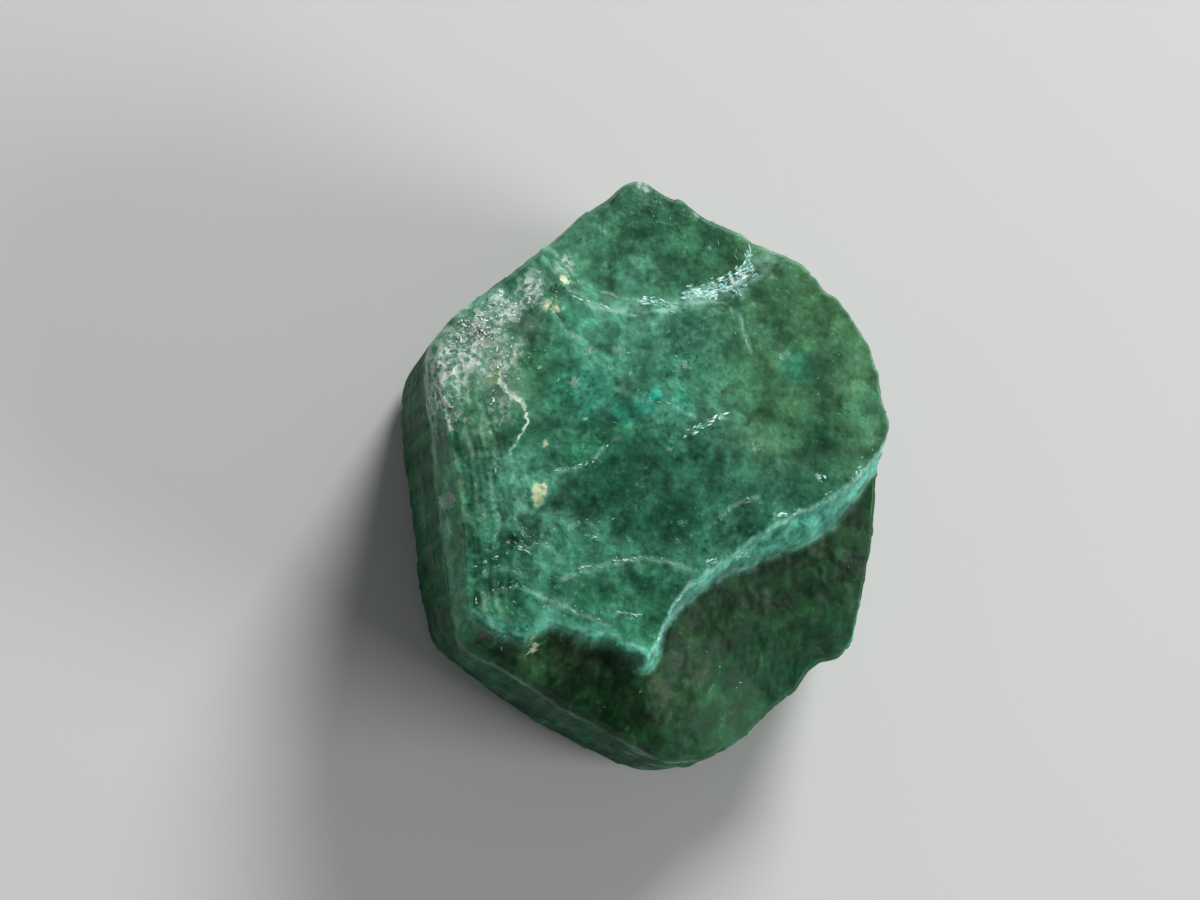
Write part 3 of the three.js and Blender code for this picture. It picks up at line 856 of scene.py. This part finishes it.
def upper_colour(g, mid, small):
    """The plateau: olive to the right, dark across the middle, milky and frosted to the left with a
    painted sheen, and a painted glow where light flashes inside.
    """
    colour = g.ramp(g.noise(4.2, 4, 0.6, 0.7), (0.3, (0.032, 0.225, 0.108)), (0.44, (0.07, 0.345, 0.19)),
                    (0.54, (0.12, 0.46, 0.285)), (0.68, (0.2, 0.6, 0.395)))
    colour = g.cover(colour, g.painted("olive", 0.8), mid, (0.07, 0.23, 0.08), (0.19, 0.42, 0.19))
    uneven = g.band(mid, 0.3, 0.6, 0.4, 1.0)
    layers = (
        (g.painted("dark", 0.8), (0.008, 0.108, 0.056), (0.046, 0.262, 0.152)),
        (g.times(g.painted("shade"), uneven), (0.003, 0.05, 0.021), (0.026, 0.185, 0.088)),
        (g.painted("light", 0.75), (0.08, 0.43, 0.26), (0.24, 0.69, 0.5)),
        (g.times(g.painted("fibre"), uneven), (0.1, 0.38, 0.18), (0.52, 0.84, 0.56)),
        # painted glow of light flashing inside
        (g.painted("glow"), (0.02, 0.56, 0.37), (0.06, 0.96, 0.7)),
        # frost, with a painted sheen
        (g.times(g.painted("frost_and_sheen"), uneven), (0.17, 0.35, 0.22), (0.52, 0.66, 0.52)),
    )
    for share, low, high in layers:
        colour = g.cover(colour, share, small, low, high)
    return colour


def rim_glow_colour(g, small, faces, angular):
    """The break's wall, painted bright green along its two edges as a glow of light through its glass,
    darker and splintered between them.
    """
    lit = g.mix(small, (0.07, 0.46, 0.33), (0.26, 0.86, 0.69))
    splinters = g.times(g.band(faces, 0, 1, 0.7, 1.2), g.band(angular, 0, 1, 0.75, 1.2))
    lit = g.mix(1.0, lit, g.grey(splinters), "MULTIPLY")
    fibres = g.times(g.band(g.painted("streak"), 0.2, 0.9, 0.0, 0.95), g.band(small, 0.38, 0.62, 1.0, 0.4))
    return g.mix(fibres, lit, (0.02, 0.2, 0.122))


def trimmings(g, colour, small, tiny, faces, angular):
    """The rim of the break, painted bright as light through its glass with highlights on its edges, and
    the lines, spots and crust on the upper end, with painted highlights round the glints and on the
    scoop's slope.
    """
    # Painted glow of light through the break's wall.
    colour = g.mix(g.painted("rim", 0.9), colour, rim_glow_colour(g, small, faces, angular))
    patchy = g.band(small, 0.4, 0.58)
    # Painted highlights along the break's edges.
    edge_highlight = g.times(g.painted("edge_highlight"), g.band(patchy, 0, 1, 0.1, 0.8))
    colour = g.mix(edge_highlight, colour, (0.46, 0.94, 0.8))
    # Pale cracks, and the scoop's slope painted pale as a highlight.
    colour = g.mix(g.times(g.painted("pale_line"), patchy), colour, (0.44, 0.8, 0.66))
    # Painted highlight round the glint slivers.
    shine = ragged(g, g.painted("shine"), tiny, 0.3)
    colour = g.mix(g.times(shine, g.band(angular, 0.2, 0.8, 0.25, 0.9)), colour, (0.56, 0.96, 0.86))
    vein = g.times(ragged(g, g.painted("vein"), tiny), 0.9)
    colour = g.cover(colour, vein, angular, (0.34, 0.52, 0.38), (0.9, 1.0, 0.9))
    cream = g.times(ragged(g, g.painted("cream"), small), 0.9)
    colour = g.cover(colour, cream, angular, (0.36, 0.48, 0.24), (0.96, 1.0, 0.7))
    spots = g.times(ragged(g, g.painted("pale_spot"), tiny, 0.2), 0.9)
    colour = g.cover(colour, spots, faces, (0.36, 0.66, 0.46), (0.8, 1.0, 0.88))
    crust = g.ramp(g.math("ADD", g.times(angular, 0.4), g.times(tiny, 0.6)), (0.34, (0.1, 0.3, 0.18)),
                   (0.44, (0.28, 0.46, 0.36)), (0.52, (0.54, 0.64, 0.6)), (0.6, (1.0, 1.0, 1.0)))
    colour = g.mix(g.times(ragged(g, g.painted("crust"), small, 0.5), 0.85), colour, crust)
    return g.mix(g.times(ragged(g, g.painted("stain"), small, 0.2), 0.6), colour, (0.4, 0.22, 0.08))


def emerald_material():
    """Green beryl: clear at heart, and milky with fine inclusions."""
    g = Graph("emerald")
    mid, small, tiny = g.noise(1.5, 5, 0.66, 0.3), g.noise(0.75, 5, 0.66, 0.3), g.noise(0.24, 3, 0.7)
    patchy = g.noise(1.3, 3, 0.7)
    lines = g.noise(0.7, 4, 0.75, 0.15, (1.0, 1.0, 0.07))
    crease, faces = g.cells(0.6)
    fine_crease, angular = g.cells(0.2)

    colour = upper_colour(g, mid, small)
    colour = g.mix(g.painted("terrace", 0.95), colour, terrace_colour(g, mid, small))
    colour = g.mix(g.painted("side", 0.95), colour, side_colour(g, mid, small, lines))
    # Painted light: the left bevel made bright green, as though lit.
    ledge_light = g.times(g.painted("ledge_painted_light"), g.band(lines, 0.38, 0.6, 0.2, 0.75))
    colour = g.cover(colour, ledge_light, small, (0.04, 0.46, 0.16), (0.2, 0.8, 0.4))
    colour = trimmings(g, grain(g, colour, mid, small, tiny, faces), small, tiny, faces, angular)

    calm = g.band(g.painted("terrace"), 0, 1, 1.0, 0.4)
    normal = g.bumped(g.times(lines, g.painted("side")), 0.35, 0.7)
    normal = g.bumped(crease, 0.09, 0.35, normal)
    normal = g.bumped(g.times(fine_crease, g.band(patchy, 0.45, 0.62), calm), 0.07, 0.35, normal)
    normal = g.bumped(g.times(tiny, calm), 0.045, 0.3, normal)
    rough = g.band(patchy, 0.3, 0.7, 0.3, 0.48)
    worn = g.most(g.painted("side"), g.painted("terrace", 0.6))
    rough = g.math("ADD", rough, g.times(worn, g.band(g.painted("scar"), 0.0, 1.0, 0.3, 0.08)))
    clear = g.band(patchy, 0.35, 0.65, 0.7, 0.15)
    clear = g.most(clear, g.painted("dark", 0.6))
    opaque = g.most(g.painted("cream"), g.painted("vein"), g.painted("crust"), g.painted("shine"))
    milky = g.most(g.painted("side"), g.painted("rim"))
    clear = g.times(clear, g.band(opaque, 0.0, 0.7, 1.0, 0.1), g.band(milky, 0.0, 1.0, 1.0, 0.3))
    # Beryl's index of refraction, with a gloss set weaker and greener than its own, for the look.
    g.shade(Base_Color=colour, Roughness=rough, IOR=1.58, Transmission_Weight=clear,
            Specular_IOR_Level=0.16, Specular_Tint=(0.36, 0.48, 0.42),
            Subsurface_Weight=0.4, Subsurface_Radius=(0.5, 1.0, 0.75), Subsurface_Scale=1.2 * MM,
            Normal=normal)
    g.absorb((0.35, 0.85, 0.65), 60.0)
    return g.material


def veil_material():
    """A healed crack inside the stone: a cloud of tiny bubbles, patchy and pale."""
    g = Graph("veil")
    cloud = g.noise(0.8, 6, 0.7, 0.5)
    colour = g.ramp(cloud, (0.35, (0.04, 0.16, 0.1)), (0.6, (0.16, 0.42, 0.3)), (0.75, (0.45, 0.7, 0.58)))
    g.shade(Base_Color=colour, Roughness=g.band(cloud, 0.3, 0.7, 0.5, 0.25), IOR=1.3,
            Normal=g.bumped(g.noise(0.3, 5, 0.7), 0.05, 0.6))
    return g.material


def feather_material():
    """An air-filled crack: it mirrors light, with a green tint from the stone round it."""
    g = Graph("feather")
    shade = g.noise(0.6, 4, 0.7)
    colour = g.ramp(shade, (0.35, (0.1, 0.45, 0.33)), (0.6, (0.35, 0.8, 0.66)), (0.75, (0.8, 0.95, 0.88)))
    g.shade(Base_Color=colour, Roughness=g.band(shade, 0.3, 0.7, 0.35, 0.15), Metallic=0.35, IOR=1.3)
    return g.material


def glint_material():
    """Clean fracture faces in the break, coloured near white as painted glints of the light they throw
    back.
    """
    g = Graph("glint")
    shade = g.noise(0.2, 3, 0.7)
    colour = g.ramp(shade, (0.38, (0.1, 0.44, 0.34)), (0.5, (0.42, 0.82, 0.72)), (0.6, (0.9, 1.0, 0.98)))
    g.shade(Base_Color=colour, Roughness=g.band(shade, 0.3, 0.7, 0.5, 0.3), IOR=1.58,
            Normal=g.bumped(g.noise(0.1, 4, 0.7), 0.02, 0.4))
    return g.material


def flake_material():
    """Flakes of pale feldspar and silvery mica from the host rock."""
    g = Graph("flake")
    shade = g.noise(0.22, 4, 0.75)
    colour = g.ramp(shade, (0.36, (0.1, 0.28, 0.18)), (0.47, (0.42, 0.6, 0.48)), (0.58, (0.9, 1.0, 0.95)))
    g.shade(Base_Color=colour, Roughness=g.band(g.noise(0.3, 4), 0.35, 0.65, 0.3, 0.55), IOR=1.5,
            Normal=g.bumped(g.noise(0.12, 4, 0.7), 0.03, 0.5))
    return g.material


def speck_material():
    """Grains of dark mica and of pale feldspar."""
    g = Graph("speck")
    which = g.noise(3.0, 4, 0.7)
    colour = g.ramp(which, (0.46, (0.01, 0.02, 0.012)), (0.5, (0.1, 0.09, 0.05)),
                    (0.54, (0.45, 0.42, 0.33)))
    g.shade(Base_Color=colour, Roughness=g.band(g.noise(0.3, 4), 0.3, 0.7, 0.3, 0.6))
    return g.material


def crust_material():
    """Grains of pale feldspar and mica from the host rock."""
    g = Graph("crust_grain")
    shade = g.noise(0.5, 5, 0.7)
    colour = g.ramp(shade, (0.35, (0.1, 0.2, 0.14)), (0.5, (0.28, 0.38, 0.31)), (0.65, (0.7, 0.78, 0.72)))
    g.shade(Base_Color=colour, Roughness=g.band(g.noise(0.3, 4), 0.35, 0.65, 0.15, 0.55),
            Normal=g.bumped(g.noise(0.12, 4, 0.7), 0.03, 0.5))
    return g.material


def floor_material():
    g = Graph("floor")
    shade = g.noise(60.0, 3)
    colour = g.mix(shade, (0.72, 0.72, 0.71), (0.76, 0.76, 0.75))
    g.shade(Base_Color=colour, Roughness=g.band(shade, 0.3, 0.7, 0.75, 0.9))
    return g.material


# ---- what is sealed in the stone, and what clings to it ----


def hold_inside(points, skin):
    """Moves points that would come through the stone's outside back to skin millimetres inside it."""
    x, y, z = points.T
    phi = np.degrees(np.arctan2(y, x))
    r = np.hypot(x, y)
    chamfer = CHAMFER * (1 - smooth(z / CHAMFER_RISE))
    most = side_radius(phi, z) - edge_inset(phi) - chamfer - skin
    factor = np.minimum(1, most / np.maximum(r, 1e-6))
    x, y = x * factor, y * factor
    z = np.clip(z, skin, top_height(x, y) - skin)
    return np.stack([x, y, z], -1)


def veils(rng, count):
    """Wavy sheets with ragged outlines, each a thin closed body."""
    rings, spokes = 12, 40
    points, faces, start = [], [], 0
    for _ in range(count):
        centre = np.array([rng.uniform(-8, 8.5), rng.uniform(-10, 10), rng.uniform(2.0, 11.4)])
        normal = rng.normal(size=3) * (1, 1, 1.2)
        normal /= np.linalg.norm(normal)
        across = np.cross(normal, (0.3, 0.2, 1.0))
        across /= np.linalg.norm(across)
        other = np.cross(normal, across)
        size = rng.uniform(0.8, 3.2)
        key = rng.uniform(0, 50)
        share = np.linspace(0, 1, rings + 1)[1:, None]
        turn = np.linspace(0, 2 * np.pi, spokes, endpoint=False)[None, :]
        ragged = 1 + 0.5 * fractal(np.cos(turn) * 1.7 + key, np.sin(turn) * 1.7, key, 3, 0.6, 301)
        u, v = size * share * ragged * np.cos(turn), size * 0.7 * share * ragged * np.sin(turn)
        wave = 0.35 * size * fractal(u * 0.5 + key, v * 0.5, key, 3, 0.5, 311)
        sheet = centre + u[..., None] * across + v[..., None] * other + wave[..., None] * normal
        sheet = np.concatenate([[centre + wave.mean() * normal], sheet.reshape(-1, 3)])
        upper = hold_inside(sheet, 0.25)
        lower = upper - normal * VEIL_THICKNESS
        points += [upper, lower]
        size_each = len(upper)
        index = np.arange(rings * spokes).reshape(rings, spokes) + 1
        turned = np.roll(index, -1, axis=1)
        fan = np.stack([np.zeros(spokes, int), index[0], turned[0]], -1)
        quads = np.stack([index[:-1], index[1:], turned[1:], turned[:-1]], -1).reshape(-1, 4)
        edge = np.stack([index[-1], index[-1] + size_each, turned[-1] + size_each, turned[-1]], -1)
        faces += [fan + start, quads + start, fan[:, ::-1] + start + size_each,
                  quads[:, ::-1] + start + size_each, edge + start]
        start += 2 * size_each
    return np.concatenate(points), faces


def icosahedron():
    gold = (1 + 5 ** 0.5) / 2
    corners = np.array([(a, b * gold, 0) for a in (-1, 1) for b in (-1, 1)])
    points = np.concatenate([np.roll(corners, k, axis=1) for k in range(3)])
    points /= np.linalg.norm(points[0])
    faces = []
    reach = 1.1
    for i in range(12):
        for j in range(i + 1, 12):
            for k in range(j + 1, 12):
                tri = points[[i, j, k]]
                sides = [np.linalg.norm(tri[a] - tri[b]) for a, b in ((0, 1), (1, 2), (2, 0))]
                if max(sides) < reach:
                    outward = np.dot(np.cross(tri[1] - tri[0], tri[2] - tri[0]), tri[0]) > 0
                    faces.append((i, j, k) if outward else (i, k, j))
    return points, np.array(faces)


def grains(rng, places, sizes):
    """Angular grains, one at each place."""
    shape, tris = icosahedron()
    points, faces = [], []
    for i, (place, size) in enumerate(zip(places, sizes)):
        stretch = rng.uniform(0.6, 1.3, 3) * (1, 1, GRAIN_FLATNESS)
        jitter = 1 + rng.uniform(-0.22, 0.22, (12, 1))
        turn = np.array(Matrix.Rotation(rng.uniform(0, 6.28), 3, Vector(rng.normal(size=3))))
        points.append(place + (shape * jitter * stretch * size) @ turn.T)
        faces.append(tris + 12 * i)
    return np.concatenate(points), faces


def scattered(rng, count, low, high, chance, margin):
    """Spots over the upper end, kept by chance(x, y), and at least margin in from the sides."""
    x = rng.uniform(low[0], high[0], 60 * count)
    y = rng.uniform(low[1], high[1], 60 * count)
    phi = np.degrees(np.arctan2(y, x))
    kept = (rng.random(len(x)) < chance(x, y)) & (np.hypot(x, y) < edge_radius(phi) - margin)
    return x[kept][:count], y[kept][:count]


def crust_places(rng, count):
    """Spots on the upper end, crowded where the crust is."""
    def chance(x, y):
        clumps = smooth(fractal(x * 1.3, y * 1.3, 0, 4, 0.6, 401) * 3 + 0.1)
        return clumps * np.maximum(patches(CRUST, x, y), 0.4 * patches(CREAM, x, y)) ** 1.2

    x, y = scattered(rng, count, (-9.6, 1.5), (2.5, 12.6), chance, 0.06)
    return np.stack([x, y, top_height(x, y) - 0.01], -1)


def plates(rng, places, normals, tangents, lengths, widths):
    """Small bent six-cornered plates, each a thin closed body: cracks filled with air."""
    count = len(places)
    across = np.cross(normals, tangents)
    across /= np.linalg.norm(across, axis=1, keepdims=True)
    along = np.cross(across, normals)
    turn = np.radians(60 * np.arange(6))
    reach = rng.uniform(0.65, 1.2, (count, 6))
    u = reach * np.cos(turn) * lengths[:, None] / 2
    v = reach * np.sin(turn) * widths[:, None] / 2
    lift = rng.uniform(-0.12, 0.12, (count, 6)) * widths[:, None]
    rim = (places[:, None] + u[..., None] * along[:, None] + v[..., None] * across[:, None]
           + lift[..., None] * normals[:, None])
    both = np.concatenate([rim, rim - PLATE_THICKNESS * normals[:, None]], 1)
    base = 12 * np.arange(count)[:, None, None]
    corner = np.arange(6)
    upper = np.array([[0, 1, 2], [0, 2, 3], [0, 3, 5], [3, 4, 5]])
    walls = np.stack([corner, corner + 6, (corner + 1) % 6 + 6, (corner + 1) % 6], -1)
    tris = np.concatenate([upper, upper[:, ::-1] + 6])
    return both.reshape(-1, 3), [(tris + base).reshape(-1, 3), (walls + base).reshape(-1, 4)]


def along_lines(rng, lines, per_mm, spread):
    """Spots strewn along lines, with each line's direction there."""
    places, ways = [], []
    for line in lines:
        for a, b in segments(line, False):
            a, b = np.array(a), np.array(b)
            length = np.linalg.norm(b - a)
            count = rng.poisson(per_mm * length)
            share = rng.random((count, 1))
            places.append(a + (b - a) * share + rng.normal(size=(count, 2)) * spread)
            ways.append(np.tile((b - a) / length, (count, 1)) + rng.normal(size=(count, 2)) * 0.25)
    return np.concatenate(places), np.concatenate(ways)


def tilted(rng, count, spread, lean):
    normals = rng.normal(size=(count, 3)) * spread + lean
    return normals / np.linalg.norm(normals, axis=1, keepdims=True)


def feathers(rng, count):
    """Bright hairline cracks in the broken end: strewn through it, and in chains along its lines."""
    def chance(x, y):
        zone = smooth((-2.0 - x) / 3) * smooth((1.5 - y) / 3)
        clumps = smooth(1.5 * fractal(x * 0.9, y * 0.9, 0, 3, 0.6, 411) + 0.45)
        off_terrace = 1 - 0.8 * smooth(depth_in(TERRACE, x, y))
        return np.clip(0.2 + 0.5 * zone + 0.4 * patches(GLOW, x, y), 0, 1) * clumps * off_terrace

    x, y = scattered(rng, count, (-9.6, -12.2), (11.2, 12.6), chance, 0.35)
    ways = rng.normal(size=(len(x), 2))
    depth = rng.uniform(0, 1, len(x)) ** 2 * 1.6
    lengths = 0.05 + 0.4 * rng.random(len(x)) ** 3
    chain, chain_ways = along_lines(rng, CRACKS, 9, 0.05)
    edge, edge_ways = along_lines(rng, (GLASSY_RIM, RIDGE, SCOOP_SLOPE), 12, 0.28)
    x = np.concatenate([x, chain[:, 0], edge[:, 0]])
    y = np.concatenate([y, chain[:, 1], edge[:, 1]])
    ways = np.concatenate([ways, chain_ways, edge_ways])
    depth = np.concatenate([depth, np.zeros(len(chain)), rng.uniform(0, 0.3, len(edge))])
    lengths = np.concatenate([lengths, rng.uniform(0.06, 0.4, len(chain) + len(edge))])
    tangents = np.concatenate([ways, np.zeros((len(x), 1))], 1)
    places = np.stack([x, y, top_height(x, y) - depth], -1)
    normals = tilted(rng, len(x), (0.35, 0.35, 0.2), (-0.1, 0.2, 0.9))
    return plates(rng, places, normals, tangents, lengths, rng.uniform(0.015, 0.06, len(x)))


def glints(rng):
    """Slivers standing just proud of the stone, where the break shines."""
    groups = [along_lines(rng, (line,), per_mm, spread) for line, per_mm, spread in GLINTS]
    spots = np.concatenate([group[0] for group in groups])
    ways = np.concatenate([group[1] for group in groups])
    places = np.stack([*spots.T, top_height(*spots.T) + PROUD], -1)
    tangents = np.concatenate([ways, np.zeros((len(spots), 1))], 1)
    normals = tilted(rng, len(spots), (0.16, 0.16, 0.05), (0, 0.1, 1))
    spreads = np.concatenate([np.full(len(group[0]), line[2]) for group, line in zip(groups, GLINTS)])
    broad = np.minimum(spreads / 0.16, 1)
    lengths = (0.05 + 0.34 * rng.random(len(spots)) ** 2.5) * (0.8 + broad)
    widths = lengths * rng.uniform(0.08, 0.2, len(spots)) * (1 + broad)
    return plates(rng, places, normals, tangents, lengths, widths)


def flakes(rng, count):
    """Thin pale flakes of host rock lying on the crust."""
    spots = crust_places(rng, count)
    ways = rng.normal(size=(len(spots), 3)) * (1, 1, 0)
    normals = tilted(rng, len(spots), (0.16, 0.16, 0.05), (0, 0.1, 1))
    lengths = 0.03 + 0.2 * rng.random(len(spots)) ** 2.5
    widths = lengths * rng.uniform(0.3, 0.9, len(spots))
    return plates(rng, spots + (0, 0, PROUD), normals, ways, lengths, widths)


def specks(rng, count):
    """Tiny dark and pale grains sealed under the broken end."""
    x, y = scattered(rng, count, (-9.6, -12.2), (11.2, 12.6), lambda x, y: np.full(len(x), 0.5), 0.4)
    depth = rng.uniform(0.1, 2.5, len(x))
    return np.stack([x, y, top_height(x, y) - depth], -1)


# ---- camera, floor and light ----

SENSOR_WIDTH = 36.0
LENS = 141.0  # the frame is 51 mm wide at the stone
DISTANCE = 200.0
LEAN = (-0.142, -0.133)  # how far the camera stands towards -X and -Y
# The round lamps: name, place and size in metres, and watts.
LAMPS = (("key", (0.16, 0.4, 0.27), 0.2, 2.4), ("fill", (0.44, -0.15, 0.18), 0.26, 1.5))
OFF_CENTRE = (2.13, -1.06)  # where the c-axis stands in the frame, right and up of its middle


def add_camera(place):
    back = Vector((*LEAN, math.sqrt(1 - LEAN[0] ** 2 - LEAN[1] ** 2)))
    right = Vector((0, 1, 0)).cross(back).normalized()
    up = back.cross(right)
    target = Vector(place((0, 0, 0.9 * HEIGHT)))
    aim = target - (right * OFF_CENTRE[0] + up * OFF_CENTRE[1]) * MM
    camera = bpy.data.objects.new("camera", bpy.data.cameras.new("camera"))
    camera.data.sensor_width = SENSOR_WIDTH
    camera.data.lens = LENS
    camera.data.clip_start = 0.005
    camera.data.clip_end = 10.0
    turn = Matrix((right, up, back)).transposed().to_4x4()
    camera.matrix_world = Matrix.Translation(aim + back * DISTANCE * MM) @ turn
    bpy.context.scene.collection.objects.link(camera)
    bpy.context.scene.camera = camera


def add_floor():
    half, gap = 0.8, 0.02 * MM
    corners = [(-half, -half, -gap), (half, -half, -gap), (half, half, -gap), (-half, half, -gap)]
    floor = mesh_object("floor", corners, [np.array([[0, 1, 2, 3]])])
    floor.data.materials.append(floor_material())


def add_light(name, place, size, watts):
    """A round lamp, aimed at the stone."""
    lamp = bpy.data.lights.new(name, "AREA")
    lamp.shape = "DISK"
    lamp.size = size
    lamp.energy = watts
    made = bpy.data.objects.new(name, lamp)
    made.location = place
    made.rotation_euler = (-Vector(place)).to_track_quat("-Z", "Y").to_euler()
    bpy.context.scene.collection.objects.link(made)


def add_lights():
    for lamp in LAMPS:
        add_light(*lamp)
    world = bpy.data.worlds.new("studio")
    world.use_nodes = True
    background = world.node_tree.nodes["Background"].inputs
    background["Color"].default_value = (0.95, 0.97, 1.0, 1)
    background["Strength"].default_value = 0.15
    bpy.context.scene.world = world
    bpy.context.scene.view_settings.view_transform = "Standard"


# ---- everything together ----


def add_piece(name, points, faces, material, smooth_faces=True):
    piece = mesh_object(name, points, faces)
    piece.data.polygons.foreach_set("use_smooth", np.full(len(piece.data.polygons), smooth_faces))
    piece.data.materials.append(material)
    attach(piece, "root")
    return piece


def main():
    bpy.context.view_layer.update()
    rng = np.random.default_rng(SEED)

    form_points, faces = crystal_mesh()
    place = Placing(form_points)
    crystal = add_piece("emerald", place(form_points), faces, emerald_material())
    paint_features(crystal, form_points)
    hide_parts(NODE)

    points, faces = veils(rng, VEILS)
    add_piece("veils", place(points), faces, veil_material())
    points, faces = feathers(rng, FEATHERS)
    add_piece("feathers", place(points), faces, feather_material())
    points, faces = glints(rng)
    add_piece("glints", place(points), faces, glint_material())

    spots = specks(rng, SPECKS)
    points, faces = grains(rng, spots, rng.uniform(0.015, 0.07, len(spots)))
    add_piece("specks", place(points), faces, speck_material())
    spots = crust_places(rng, CRUST_GRAINS)
    points, faces = grains(rng, spots, rng.uniform(0.2, 1.0, len(spots)) ** 2 * 0.06)
    add_piece("crust_grains", place(points), faces, crust_material(), False)
    points, faces = flakes(rng, CRUST_FLAKES)
    add_piece("crust_flakes", place(points), faces, flake_material(), False)

    add_camera(place)
    add_floor()
    add_lights()


main()
